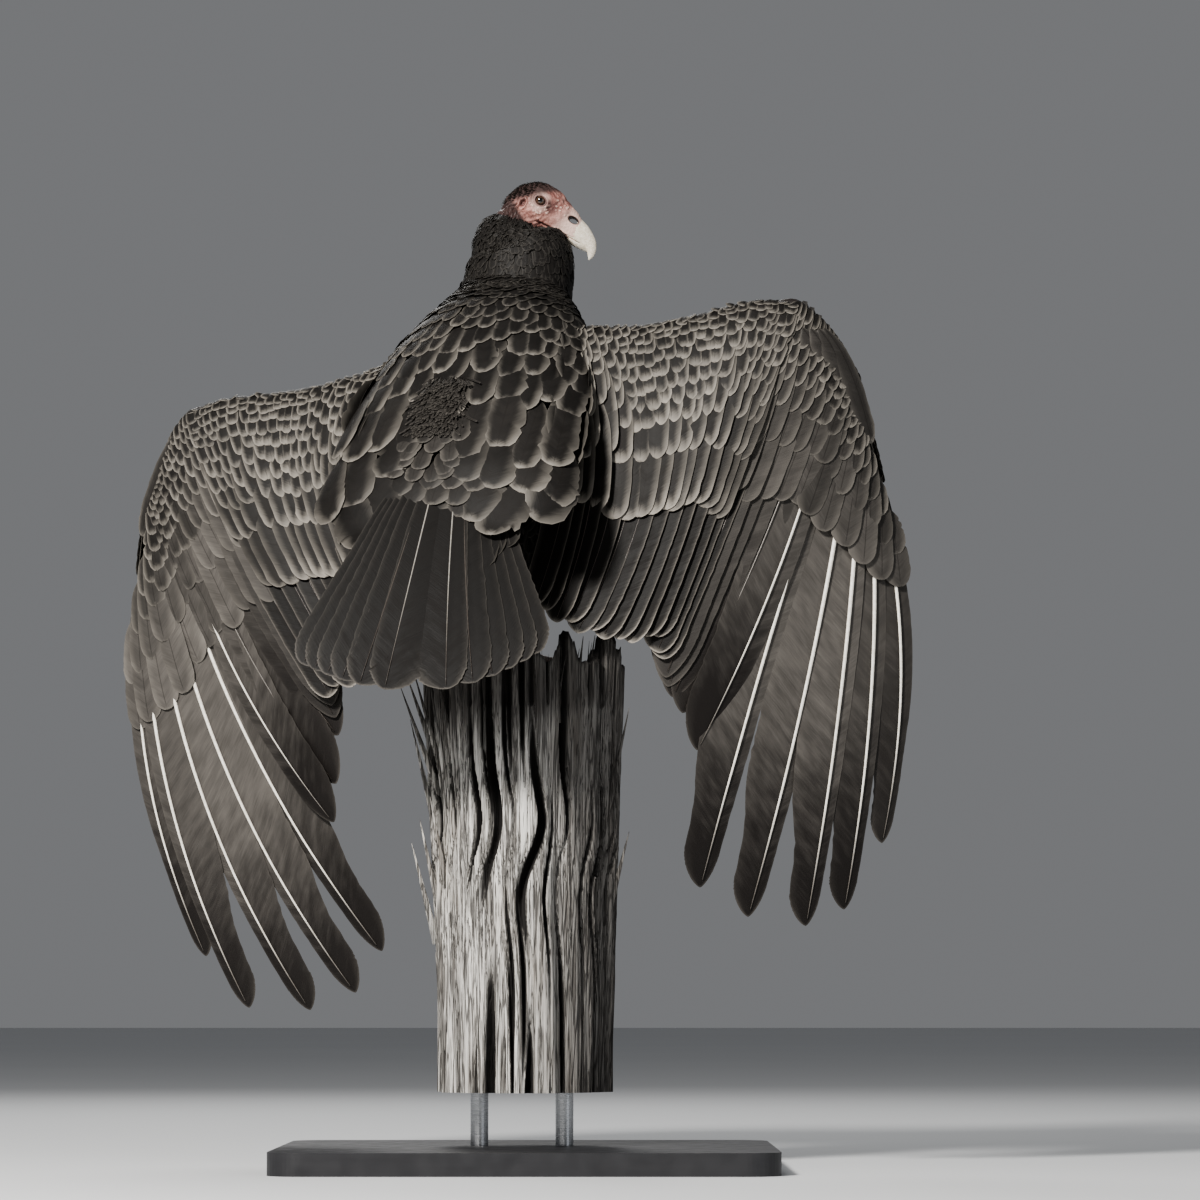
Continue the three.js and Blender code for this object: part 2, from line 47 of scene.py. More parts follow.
def placed(name, data):
    """A new object of the scene that holds this mesh, lamp or camera."""
    obj = bpy.data.objects.new(name, data)
    bpy.context.scene.collection.objects.link(obj)
    return obj


camera = placed("camera", bpy.data.cameras.new("camera"))
camera.data.lens, camera.data.sensor_width = 140.0, 36.0
camera.location = target + distance * Vector((0.0, -math.cos(rise), math.sin(rise)))
camera.rotation_euler = (math.radians(90.0) - rise, 0.0, 0.0)
camera.data.clip_end = 60.0
bpy.context.scene.camera = camera


def light(name, place, aim, size, power, colour):
    lamp = placed(name, bpy.data.lights.new(name, "AREA"))
    lamp.data.shape, lamp.data.size = "DISK", size
    lamp.data.energy, lamp.data.color = power, colour
    lamp.location = place
    lamp.rotation_euler = (Vector(aim) - Vector(place)).to_track_quat("-Z", "Y").to_euler()


middle = (-0.02, 0.0, 0.55)
light("key_light", (-1.5, -2.7, 2.3), middle, 0.6, 215.0, (1.0, 0.97, 0.93))
light("fill_light", (2.6, -2.2, 1.2), middle, 2.4, 15.0, (0.93, 0.96, 1.0))
light("back_light", (-0.6, 2.6, 2.4), middle, 1.6, 36.0, (1.0, 0.99, 0.97))

world = bpy.data.worlds.new("studio")
world.use_nodes = True
world.node_tree.nodes["Background"].inputs["Color"].default_value = (0.62, 0.63, 0.65, 1.0)
world.node_tree.nodes["Background"].inputs["Strength"].default_value = 0.29
bpy.context.scene.world = world
bpy.context.scene.view_settings.view_transform = "AgX"
bpy.context.scene.view_settings.look = "AgX - Medium High Contrast"


# ---- shader kit -----------------------------------------------------------------------------------
class Wire:
    """A socket of a material's nodes that can be added, multiplied and compared like a number."""

    def __init__(self, tree, socket):
        self.tree, self.socket = tree, socket

    def node(self, kind, settings=None, inputs=None, output=0):
        made = self.tree.nodes.new("ShaderNode" + kind)
        for name, value in (settings or {}).items():
            setattr(made, name, value)
        for name, value in (inputs or {}).items():
            socket = made.inputs[name]
            if isinstance(value, Wire):
                self.tree.links.new(value.socket, socket)
            elif isinstance(value, tuple) and len(value) == 3 and socket.type == "RGBA":
                socket.default_value = (*value, 1.0)
            else:
                socket.default_value = value
        return Wire(self.tree, made.outputs[output])

    def sum(self, operation, *values):
        return self.node("Math", {"operation": operation}, dict(enumerate(values)))

    def __add__(self, other):
        return self.sum("ADD", self, other)

    def __sub__(self, other):
        return self.sum("SUBTRACT", self, other)

    def __rsub__(self, other):
        return self.sum("SUBTRACT", other, self)

    def __mul__(self, other):
        return self.sum("MULTIPLY", self, other)

    def __truediv__(self, other):
        return self.sum("DIVIDE", self, other)

    def __pow__(self, other):
        return self.sum("POWER", self, other)

    __radd__, __rmul__ = __add__, __mul__

    def step(self, low, high, a=0.0, b=1.0):
        """Rises smoothly from a to b as the value goes from low to high."""
        settings = {"interpolation_type": "SMOOTHSTEP"}
        places = {"Value": self, "From Min": low, "From Max": high, "To Min": a, "To Max": b}
        return self.node("MapRange", settings, places)

    def least(self, other):
        return self.sum("MINIMUM", self, other)

    def most(self, other):
        return self.sum("MAXIMUM", self, other)

    def size(self):
        return self.sum("ABSOLUTE", self)

    def mix(self, a, b):
        """Colour a where this is 0, colour b where it is 1."""
        return self.node("Mix", {"data_type": "RGBA"}, {0: self, 6: a, 7: b}, output=2)

    def along(self, x, y, z):
        """A vector stretched by these three numbers."""
        return self.node("VectorMath", {"operation": "MULTIPLY"}, {0: self, 1: (x, y, z)})

    def part(self, axis):
        return self.node("SeparateXYZ", None, {0: self}, output="XYZ".index(axis))

    def noise(self, scale, detail=3.0, rough=0.5, distort=0.0):
        places = {"Vector": self, "Scale": scale, "Detail": detail, "Roughness": rough, "Distortion": distort}
        return self.node("TexNoise", None, places)

    def mark(self, name, vector=False):
        """What a mesh keeps for each vertex under this name: a number or a vector."""
        return self.node("Attribute", {"attribute_name": name}, output=1 if vector else 2)


def material(name, paint):
    """A material whose paint function gets a wire of object coordinates and returns what the shader takes."""
    made = bpy.data.materials.new(name)
    made.use_nodes = True
    tree = made.node_tree
    shader = tree.nodes["Principled BSDF"]
    start = Wire(tree, tree.nodes.new("ShaderNodeTexCoord").outputs["Object"])
    for socket, value in paint(start).items():
        if socket == "Bump":
            height, strength, depth = value
            bump = start.node("Bump", None, {"Height": height, "Strength": strength, "Distance": depth})
            tree.links.new(bump.socket, shader.inputs["Normal"])
        elif isinstance(value, Wire):
            tree.links.new(value.socket, shader.inputs[socket])
        elif isinstance(value, tuple):
            shader.inputs[socket].default_value = (*value, 1.0)
        else:
            shader.inputs[socket].default_value = value
    return made


def repaint(obj, made):
    obj.data.materials.clear()
    obj.data.materials.append(made)


def finish_with(obj, made, replaces=()):
    """Gives a piece its material and says what it rides on and the nodes it stands for."""
    repaint(obj, made)
    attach(obj, "root")
    if replaces:
        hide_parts(*replaces)


def formed(name, bm, smooth=True):
    """An object of the scene made of a finished bmesh."""
    mesh = bpy.data.meshes.new(name)
    bm.to_mesh(mesh)
    bm.free()
    if smooth:
        mesh.shade_smooth()
    return placed(name, mesh)


def floor_paint(at):
    return {"Base Color": at.noise(0.6).mix((0.60, 0.61, 0.62), (0.64, 0.65, 0.66)), "Roughness": 0.85}


bm = bmesh.new()
bmesh.ops.create_grid(bm, x_segments=2, y_segments=2, size=30.0)
floor = formed("floor", bm, smooth=False)
repaint(floor, material("pale_floor", floor_paint))


# ==== Display stand ================================================================================
# A painted board with rounded corners carries two short brushed steel rods,
# which are let into the board and into the cut end of the trunk.
def board_paint(at):
    grain = at.along(3.0, 40.0, 40.0).noise(4.0, 4.0)
    mottle = at.noise(55.0, 3.0)
    return {
        "Base Color": (grain * 0.5 + mottle * 0.5).mix((0.016, 0.016, 0.018), (0.034, 0.034, 0.037)),
        "Roughness": mottle.step(0.2, 0.8, 0.38, 0.55),
        "Bump": (grain + mottle * 0.6, 0.25, 0.0004),
    }


def rod_paint(at):
    lines = at.along(1.0, 1.0, 30.0).noise(60.0, 2.0)
    return {
        "Base Color": lines.mix((0.38, 0.39, 0.40), (0.56, 0.57, 0.59)),
        "Metallic": 1.0,
        "Roughness": lines.step(0.2, 0.8, 0.22, 0.38),
        "Bump": (lines, 0.15, 0.0002),
    }


repaint(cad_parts["stand_base"], material("painted_board", board_paint))
steel = material("brushed_steel", rod_paint)
for node in ("stand_rod_left", "stand_rod_right"):
    repaint(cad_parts[node], steel)


# ==== Perch ========================================================================================
# A cut length of a dead trunk, weathered silver-grey: the bark is long gone, the wood has opened in deep
# fissures along the grain, and its broken top stands in splinters round a hollow where the bird has its feet.
perch_foot, perch_head = 0.068, 0.448
perch_axis = Vector((-0.005, 0.014, 0.0))
# Each fissure: where it is round the trunk in degrees, half width and depth in millimetres, how far it
# wanders with the grain, and the phase of its bends.
fissures = [
    (-112, 5.0, 17, 1.0, 0.3), (-97, 2.2, 9, 0.8, 1.1), (-86, 4.2, 16, 1.3, 0.5), (-72, 2.0, 8, 0.7, 2.0),
    (-60, 3.4, 12, 1.0, 2.6), (-44, 2.4, 9, 0.9, 0.8), (-28, 3.6, 13, 0.8, 1.9), (-8, 2.0, 7, 0.6, 0.1),
    (12, 4.0, 14, 1.0, 1.3), (34, 2.2, 8, 0.8, 2.9), (56, 3.8, 13, 1.1, 0.9), (84, 2.4, 9, 0.9, 2.2),
    (108, 4.2, 15, 1.0, 0.6), (131, 2.2, 8, 0.8, 1.7), (152, 3.6, 12, 0.9, 2.4), (176, 2.6, 9, 0.7, 0.2),
    (200, 4.0, 14, 1.1, 1.5), (221, 2.2, 8, 0.8, 2.7), (237, 2.6, 10, 0.9, 0.4),
]
# The rim stands up in broad spikes: angle and half width in degrees, height in millimetres.
rim_spikes = [
    (18, 13, 16), (150, 16, 14), (182, 12, 22), (212, 14, 12), (246, 12, 24), (275, 10, 15), (299, 11, 30),
    (334, 11, 34),
]
# Thirty finer fissures lie between the large ones, each of their values drawn from its span.
rng = np.random.default_rng(12)
fine_spans = ((-180, 180), (1.1, 2.3), (8, 15), (0.7, 1.2), (0, 3))
for i in range(30):
    fissures.append(tuple(rng.uniform(*span) for span in fine_spans))


def apart(one, other):
    """How far two directions round the trunk are apart, in degrees."""
    return abs((one - other + 540.0) % 360.0 - 180.0)


def bend(share, phase):
    """How far the grain leans sideways at this height, in degrees: a knot pushes it into an S."""
    knot = math.exp(-((share - 0.62) / 0.10) ** 2) - math.exp(-((share - 0.46) / 0.12) ** 2)
    return 5.5 * knot + 2.5 * math.sin(2.2 * share + phase)


def trunk_radius(share, angle):
    twist = angle + 0.25 * share
    plain = 0.076 + 0.012 * share ** 1.3
    lobes = ((3, 0.035, 0.4), (5, 0.03, 2.1), (9, 0.028, 0.9), (17, 0.018, 3.0))
    return plain * (1 + sum(size * math.sin(n * twist + phase) for n, size, phase in lobes))


def fissure_depth(share, degrees):
    deepest, mm_to_a_degree = 0.0, 1.45
    for at, half, depth, wander, phase in fissures:
        off = apart(degrees, at + wander * bend(share, phase)) * mm_to_a_degree
        opens = 0.55 + 0.45 * math.sin(9.0 * share + 5.0 * phase) + 0.25 * (share > 0.9)
        wide = half * (0.55 + 0.6 * opens)
        if off < wide:
            deepest = max(deepest, depth * opens * (1 - (off / wide) ** 2) ** 0.6)
    return deepest * 0.001


def rim_height(degrees):
    top = 0.0
    for at, half, high in rim_spikes:
        top = max(top, high * (1 - apart(degrees, at) / half))
    shred = noise.noise(Vector((degrees * 0.35, 3.0, 0.0)))
    shred += 0.6 * noise.noise(Vector((degrees * 1.1, 7.0, 0.0)))
    front = max(0.0, math.cos(math.radians(degrees - 75.0)))
    return (top + 7.0 * shred * (1 - front) - 4.0 * front) * 0.001


def put_in_order(bm):
    """Sorts the faces by their lowest corners: extruding leaves them in another order on each run."""
    bm.verts.index_update()

    def place(face):
        a, b, c = sorted(v.index for v in face.verts)[:3]
        return (a * 1e5 + b) * 1e5 + c

    bm.faces.sort(key=place)


round_steps, high_steps = 600, 84
bm = bmesh.new()
bmesh.ops.create_grid(bm, x_segments=round_steps, y_segments=high_steps, size=1.0)
# sunk holds how far in each place lies: in a fissure, a groove, the hollow or at a splinter's root. The
# material paints these places darker as painted shade.
sunk = bm.verts.layers.float.new("sunk")
for v in bm.verts:
    share = (v.co.y + 1.0) / 2.0
    angle = math.pi * (v.co.x + 1.0)
    degrees = math.degrees(angle)
    lean = math.radians(bend(share, 0.6)) * 0.8
    fibre = noise.noise(Vector((degrees * 0.9 + 40.0 * lean, share * 3.0, 0.0)))
    thread = noise.noise(Vector((degrees * 2.6 + 90.0 * lean, share * 5.0, 9.0)))
    crack = fissure_depth(share, degrees)
    r = trunk_radius(share, angle) - crack + 0.0011 * fibre + 0.0006 * thread
    z = perch_foot + (perch_head - perch_foot) * share
    if share > 0.9:
        z += rim_height(degrees) * ((share - 0.9) / 0.1) ** 1.5
    v[sunk] = min(1.0, crack / 0.009) + max(0.0, -0.5 * fibre)
    v.co = perch_axis + Vector((r * math.cos(angle), r * math.sin(angle), z))
bmesh.ops.remove_doubles(bm, verts=bm.verts, dist=1e-5)


def ring_edges(bm, top):
    return [e for e in bm.edges if e.is_boundary and (e.verts[0].co.z > 0.3) == top]


# Inside the rim the wood steps down to the rough hollow that the bird stands in. Each ring has its radius,
# height and roughness; the first follows the rim itself, a little inside it.
for radius, level, rough in ((None, 0.452, 0.003), (0.070, 0.4475, 0.001), (0.042, 0.4475, 0.001),
                             (0.016, 0.4475, 0.0008)):
    ring = bmesh.ops.extrude_edge_only(bm, edges=ring_edges(bm, True))["geom"]
    for v in [g for g in ring if isinstance(g, bmesh.types.BMVert)]:
        flat = v.co - perch_axis
        turn = math.atan2(flat.y, flat.x)
        r = radius or math.hypot(flat.x, flat.y) * 0.94
        wave = noise.noise(Vector((turn * 9.0, r * 90.0, 5.0)))
        v.co = perch_axis + Vector((r * math.cos(turn), r * math.sin(turn), level + rough * wave - rough))
        v[sunk] = 0.55 + 0.4 * wave
for top in (True, False):
    bmesh.ops.holes_fill(bm, edges=ring_edges(bm, top), sides=0)

# Loose splinters stand round the break and a few slivers peel off the sides.
rng = np.random.default_rng(11)


def splinter(bm, root, tip, radius, flat):
    """A thin wedge of wood, a little bowed and uneven, that stands on the trunk."""
    made = bmesh.ops.create_cone(bm, cap_ends=True, segments=7, depth=1.0,
                                 radius1=radius, radius2=radius * 0.06)
    way = tip - root
    turn = way.to_track_quat("Z", "X").to_matrix()
    for v in made["verts"]:
        t = v.co.z + 0.5
        side = turn @ Vector((v.co.x, v.co.y * flat, 0.0)) * (1.0 - 0.25 * math.sin(7.0 * t) ** 2)
        bow = turn @ Vector((0.0, way.length * 0.06 * math.sin(math.pi * t), 0.0))
        v.co = root + way * t + side + bow
        v[sunk] = 0.25 * (1 - t)


def outwards(degrees):
    turn = math.radians(degrees)
    return Vector((math.cos(turn), math.sin(turn), 0.0))


for i in range(96):
    out = outwards(120.0 + 290.0 * rng.random())
    r = rng.uniform(0.070, 0.081)
    root = perch_axis + out * (r - 0.012) + Vector((0, 0, 0.395))
    top = root + out * rng.normal(0.014, 0.004) + Vector((rng.normal(0, 0.003), 0, rng.uniform(0.045, 0.085)))
    splinter(bm, root, top, rng.uniform(0.0015, 0.0045), rng.uniform(0.35, 0.8))
# Slivers on the sides: where round the trunk, heights of root and tip, how far the tip leans out.
slivers = [
    (-160, 0.33, 0.43, 0.030), (-168, 0.36, 0.44, 0.020), (-20, 0.30, 0.41, 0.016),
    (-12, 0.22, 0.30, 0.012), (-150, 0.25, 0.33, 0.008), (40, 0.3, 0.42, 0.018),
    (-152, 0.34, 0.445, 0.024), (-146, 0.32, 0.44, 0.014), (-164, 0.29, 0.40, 0.018),
    (-172, 0.20, 0.29, 0.014), (-158, 0.22, 0.31, 0.012), (-141, 0.36, 0.45, 0.012),
]
for degrees, low, high, lean in slivers:
    out = outwards(degrees)
    root = perch_axis + out * 0.077 + Vector((0, 0, low))
    splinter(bm, root, perch_axis + out * (0.086 + lean) + Vector((0, 0, high)), 0.004, 0.45)
bmesh.ops.recalc_face_normals(bm, faces=bm.faces)
put_in_order(bm)
perch = formed("perch_wood", bm)


def wood_paint(at):
    recess_shade = at.mark("sunk")
    fibre = at.along(1.0, 1.0, 0.022).noise(950.0, 4.0, 0.65)
    strand = at.along(1.0, 1.0, 0.028).noise(330.0, 3.0, 0.6)
    cord = at.along(1.0, 1.0, 0.05).noise(90.0, 2.0, 0.5)
    patch = at.along(1.0, 1.0, 0.4).noise(22.0, 3.0)
    # Thin cracks along the grain, pressed in by the bump and painted dark as the shade inside them.
    split = (strand - 0.47).size().step(0.004, 0.035, 1.0, 0.0)
    seam = (cord - 0.5).size().step(0.0, 0.028, 1.0, 0.0)
    cut = split.most(seam)
    grain = (fibre * 0.5 + strand * 0.3 + cord * 0.3).step(0.42, 0.66)
    pale = grain.mix((0.12, 0.112, 0.102), (0.74, 0.72, 0.68))
    warm = patch.step(0.45, 0.75, 0.0, 0.4).mix(pale, (0.27, 0.235, 0.195))
    # Painted shadow darkens the wood round the break at the top, and painted shade darkens its right side.
    painted_shade = at.part("Z").step(0.36, 0.42, 0.0, 0.88).most(at.part("X").step(-0.01, 0.06, 0.0, 0.78))
    shaded_wood = painted_shade.mix(warm, (0.050, 0.044, 0.039))
    crack_shaded = (cut * 0.8).mix(shaded_wood, (0.022, 0.019, 0.017))
    # Painted shade: the deeper a place lies, the nearer to black it is painted.
    deep = recess_shade.step(0.15, 0.7).mix(crack_shaded, (0.012, 0.010, 0.009))
    return {
        "Base Color": deep,
        "Roughness": 0.88,
        "Bump": (fibre * 0.5 + strand * 0.7 + cord * 0.8 - cut * 0.6, 1.0, 0.0016),
    }


finish_with(perch, material("weathered_wood", wood_paint), ("perch",))


# ==== Skin =========================================================================================
# One continuous hide from the bare head to the toes: thin and hidden under the feathers on the body and
# wings, bare and wrinkled on the head, scaly on the shanks and toes. It lies inside the plumage by its depth.
mm = 0.001
yaw = math.radians(18.0)
forward = np.array((math.sin(yaw), math.cos(yaw), 0.0))
rightward = np.array((math.cos(yaw), -math.sin(yaw), 0.0))
upward = np.array((0.0, 0.0, 1.0))


def unit(v):
    return v / np.maximum(np.linalg.norm(v, axis=-1, keepdims=True), 1e-9)


def heading(points, shares, near=0.02):
    """The direction of the curve through the points at these shares of it."""
    return unit(spline(points, np.minimum(shares + near, 1)) - spline(points, np.maximum(shares - near, 0)))


def spline(points, shares):
    """Places on the smooth curve through the points, at shares from 0 to 1 of their count."""
    p = np.asarray(points, float)
    p = np.vstack([2 * p[0] - p[1], p, 2 * p[-1] - p[-2]])
    place = np.clip(np.asarray(shares, float), 0.0, 1.0) * (len(p) - 3)
    low = np.minimum(place.astype(int), len(p) - 4)
    x = (place - low)[..., None]
    a, b, c, d = (p[low + k] for k in range(4))
    e, f, g = (np.sqrt(np.linalg.norm(m - n, axis=-1))[..., None] for m, n in ((a, b), (b, c), (c, d)))
    leave = ((b - a) / e - (c - a) / (e + f) + (c - b) / f) * f
    reach = ((c - b) / f - (d - b) / (f + g) + (d - c) / g) * f
    return b + leave * x + (3 * (c - b) - 2 * leave - reach) * x ** 2 + (2 * (b - c) + leave + reach) * x ** 3


def profile(rows, at):
    """Smooth values between the rows of a table whose first column is the place."""
    rows = np.asarray(rows, float)
    x, y = rows[:, 0], rows[:, 1:]
    slope = np.gradient(y, x, axis=0)
    at = np.clip(np.asarray(at, float), x[0], x[-1])
    low = np.clip(np.searchsorted(x, at, "right") - 1, 0, len(x) - 2)
    h = (x[low + 1] - x[low])[..., None]
    t = (at[..., None] - x[low][..., None]) / h
    a, b = y[low], y[low + 1]
    s, e = slope[low] * h, slope[low + 1] * h
    return a + s * t + (3 * (b - a) - 2 * s - e) * t ** 2 + (2 * (a - b) + s + e) * t ** 3


def wrap(bm, surface, around, along):
    """Adds a closed tube. surface(share, angle) gives its points in millimetres, and its ends are filled."""
    made = bmesh.ops.create_grid(bm, x_segments=around, y_segments=along, size=1.0)["verts"]
    for v in made:
        v.co = Vector(surface((v.co.y + 1.0) / 2.0, math.pi * (v.co.x + 1.0))) * mm
    bmesh.ops.remove_doubles(bm, verts=made, dist=1e-6)
    bmesh.ops.holes_fill(bm, edges=[e for e in bm.edges if e.is_boundary], sides=0)


# The head looks along its own line, 30 degrees below level; ahead, up and side are measured from its middle.
head_middle = np.array((2.0, 98.0, 884.0))
dip = math.radians(30.0)
look = np.array((math.cos(dip), 0.0, -math.sin(dip)))
crown_way = np.array((math.sin(dip), 0.0, math.cos(dip)))
cheek_way = np.array((0.0, 1.0, 0.0))
eye_at = np.array((5.5, 6.0, 12.2))
eye_radius = 6.0
# Place along the head, height of the crown and of the chin, half width.
head_line = [
    (-24, -4, -15, 8), (-20, 7, -18, 14), (-11, 18, -19, 17.5), (0, 24, -19, 18.5),
    (12, 25, -17, 17), (22, 23, -15, 13.5), (35, 16.5, -14, 9.5), (48, 11, -13.5, 7.5),
    (61, 4.5, -13.5, 5.5), (68, -3, -14, 3.4),
]


def on_head(ahead, up, side):
    """Places that lie this far ahead, up and to the side of the head's middle."""
    ahead, up, side = (np.asarray(far)[..., None] for far in (ahead, up, side))
    return head_middle + ahead * look + up * crown_way + side * cheek_way


def head_skin(share, angle):
    ahead = -24.0 + 76.0 * share
    top, low, half = profile(head_line, ahead)
    inset = 0.7 * max(0.0, (ahead - 46.0) / 6.0)
    return on_head(ahead, (top + low) / 2 + ((top - low) / 2 - inset) * math.sin(angle),
                   (half - inset) * math.cos(angle))


spine_line = [(-82, -98, 556), (-71, -60, 601), (-44, 15, 692), (-22, 65, 759), (-14, 85, 794)]
# Share of the spine, half width of the belly and of the cape, height above the spine and depth below it.
torso_rows = [
    (0, 34, 84, 11, 12), (0.15, 46, 110, 24, 34), (0.35, 62, 114, 40, 58), (0.55, 72, 103, 47, 70),
    (0.75, 66, 80, 46, 66), (0.9, 58, 63, 41, 54), (1, 50, 53, 37, 44),
]
neck_line = [(-14, 85, 789), (-9, 95, 831), (-14, 98, 852), (-8, 98, 876)]
neck_rows = [(0, 51, 44), (0.45, 46, 42), (0.75, 33, 33), (1, 20, 20)]


def trunk_frame(line, share):
    """The middle of the body at this share of a line, and which way is along, across and up there."""
    share = np.asarray(share, float)
    along = heading(line, share, 0.01)
    across = unit(rightward - (along @ rightward)[..., None] * along)
    return spline(line, share), along, across, np.cross(across, along)


def torso_section(share, angle, plump=1.0):
    """Place on the plumage's surface: angle 0 is the right side, 90 degrees the back, 270 the belly."""
    middle, _, across, up = trunk_frame(spine_line, share)
    belly, cape, above, below = np.moveaxis(profile(torso_rows, share), -1, 0)
    sine, cosine = np.sin(angle), np.cos(angle)
    t = np.clip((sine + 0.35) / 0.6, 0, 1)
    half = belly + (cape * plump - belly) * t * t * (3 - 2 * t)
    rise = np.where(sine > 0, above, below) * sine
    return middle, across, up, half * cosine, rise


def torso_skin(share, angle):
    middle, across, up, x, z = torso_section(share, angle, 0.78)
    sunk = 0.80 * float(np.clip((share + 0.02) / 0.25, 0.15, 1.0)) if z > 0 else 0.85
    return middle + across * (x * 0.86) + up * (z * sunk)


def neck_skin(share, angle):
    middle, _, across, up = trunk_frame(neck_line, share)
    wide, deep = profile(neck_rows, share) - (11.0 - 10.0 * share)
    return middle + across * wide * math.cos(angle) + up * deep * math.sin(angle)


# The turn round a limb is measured from this direction, which none of them follows.
aslant = (0.31, 0.87, 0.38)


def limb(points, radii):
    """The surface of a limb that follows the points with the given radii along it."""

    def surface(share, angle):
        ahead = heading(points, share)
        side = unit(np.cross(ahead, aslant))
        out = math.cos(angle) * side + math.sin(angle) * np.cross(ahead, side)
        return spline(points, share) + profile(radii, share)[0] * out

    return surface


# For each wing: places along its leading edge, the tips of its secondaries, and along its hand; the tip of
# each primary with the bow of its shaft; how far the arm's and the hand's coverts reach.


wings = {
    "right": dict(
        side=1.0,
        lead=[(20, 45, 748), (51, 30, 758), (101, 20, 758), (155, 10, 767), (210, 0, 779), (247, -5, 775)],
        tips=[(8, -47, 502), (30, -52, 482), (54, -52, 475), (84, -50, 471), (112, -45, 472),
              (121, -40, 456)],
        hand=[(247, -5, 775), (264, -6, 760), (283, -4, 737), (299, 2, 704), (311, 10, 668), (325, 24, 618)],
        primaries=[
            (123, -35, 436, 4), (125, -32, 428, 5), (129, -30, 419, 6), (138, -28, 405, 7),
            (151, -25, 372, 8), (154, -10, 250, -8), (197, 0, 224, 5), (249, 10, 216, 4),
            (284, 20, 231, 9), (319, 30, 291, 15),
        ],
        covert_reach=(1.0, 1.0),
        primary_coverts=(0.52, 0.46, 0.36, 0.27, 0.27, 0.29),
    ),
    "left": dict(
        side=-1.0,
        lead=[(-66, 88, 752), (-100, 106, 742), (-150, 122, 728), (-200, 138, 718), (-240, 150, 713),
              (-290, 163, 709), (-321, 172, 698)],
        tips=[(-70, -45, 560), (-90, -20, 520), (-106, 10, 488), (-122, 35, 468), (-140, 45, 455),
              (-162, 58, 438), (-182, 70, 428)],
        hand=[(-321, 172, 698), (-333, 175, 685), (-346, 181, 658), (-358, 190, 629), (-368, 200, 600),
              (-376, 214, 552)],
        primaries=[
            (-180, 80, 419, 6), (-177, 85, 408, 8), (-175, 90, 392, 10), (-177, 95, 348, 14),
            (-179, 100, 313, 18), (-135, 110, 195, 24), (-160, 130, 157, 30), (-203, 150, 141, 31),
            (-261, 170, 143, 27), (-303, 190, 191, 22),
        ],
        covert_reach=(1.24, 1.0),
        primary_coverts=(0.66, 0.57, 0.43, 0.32, 0.35, 0.40),
    ),
}
hips = {"right": np.array((3.0, 0.0, 448.0)), "left": np.array((-55.0, 19.0, 448.0))}
toes = [(-26, 44), (2, 60), (30, 42), (172, 22)]


def leg_point(hip, ahead, right, up):
    return hip + ahead * forward + right * rightward + up * upward


def toe_point(hip, degrees, reach, up):
    turn = math.radians(degrees)
    return hip + reach * (math.cos(turn) * forward + math.sin(turn) * rightward) + up * upward


def arm_bone(wing):
    lead, tips = np.array(wing["lead"], float), np.array(wing["tips"], float)
    return lead + 0.055 * (tips[: len(lead)] - lead)


def thigh_line(side):
    out = 1.0 if side == "right" else -1.0
    places = ((0, 3 * out, 212), (16, 2 * out, 172), (6, 0, 132), (-16, 0, 80))
    return np.array([leg_point(hips[side], *place) for place in places])


arm_girth = [(0, 17, 0), (0.3, 12, 0), (0.7, 9, 0), (1, 8, 0)]
bm = bmesh.new()
wrap(bm, head_skin, 72, 80)
wrap(bm, torso_skin, 64, 60)
wrap(bm, neck_skin, 56, 40)
for wing in wings.values():
    bone = arm_bone(wing)
    wrap(bm, limb(bone, arm_girth), 20, 80)
    hand = np.array(wing["hand"], float) - 8.0 * wing["side"] * rightward
    wrap(bm, limb(np.vstack([bone[-2:-1], hand[:5]]), [(0, 8, 0), (0.3, 6.5, 0), (1, 3.2, 0)]), 20, 60)
for side, hip in hips.items():
    thigh_girth = [(0, 19, 0), (0.2, 25, 0), (0.5, 20, 0), (0.85, 9, 0), (1, 6.6, 0)]
    wrap(bm, limb(thigh_line(side), thigh_girth), 28, 44)
    shank = [leg_point(hip, -16, 0, 90), leg_point(hip, -10, 0, 45), leg_point(hip, 0, 0, 8)]
    shank_girth = [(0, 6.2, 0), (0.2, 6.4, 0), (0.5, 4.7, 0), (0.85, 5.1, 0), (1, 7, 0)]
    wrap(bm, limb(shank, shank_girth), 24, 60)
    for degrees, length in toes:
        toe = [toe_point(hip, degrees, reach * length, 4.95 + up)
               for reach, up in ((-0.05, 4), (0.3, 2.6), (0.65, 1.2), (1.0, 0.7))]
        toe_girth = [(0, 5.2, 0), (0.3, 4.4, 0), (0.5, 3.7, 0), (0.7, 4.1, 0), (1, 3.3, 0)]
        wrap(bm, limb(toe, toe_girth), 20, 40)
skin = formed("skin", bm, smooth=False)


def settle(obj):
    """Bakes an object's modifiers into its mesh."""
    seen = obj.evaluated_get(bpy.context.evaluated_depsgraph_get())
    obj.data = bpy.data.meshes.new_from_object(seen)
    obj.modifiers.clear()


# The skin of the feet lies below this height, round this place across.
foot_top, foot_middle = 530.0, -26.0
remesh = skin.modifiers.new("one_skin", "REMESH")
remesh.mode = "VOXEL"
remesh.voxel_size = 0.0019
settle(skin)
places = np.empty(len(skin.data.vertices) * 3)
skin.data.vertices.foreach_get("co", places)
places = places.reshape(-1, 3) / mm
near_head = places[:, 2] > 838
foot_part = (places[:, 2] < foot_top) & (np.abs(places[:, 0] - foot_middle) < 70)
hidden = skin.vertex_groups.new(name="hidden")
hidden.add(np.nonzero(~(near_head | foot_part))[0].tolist(), 1.0, "REPLACE")
thin = skin.modifiers.new("fewer_faces", "DECIMATE")
thin.ratio = 0.26
thin.vertex_group = "hidden"
settle(skin)

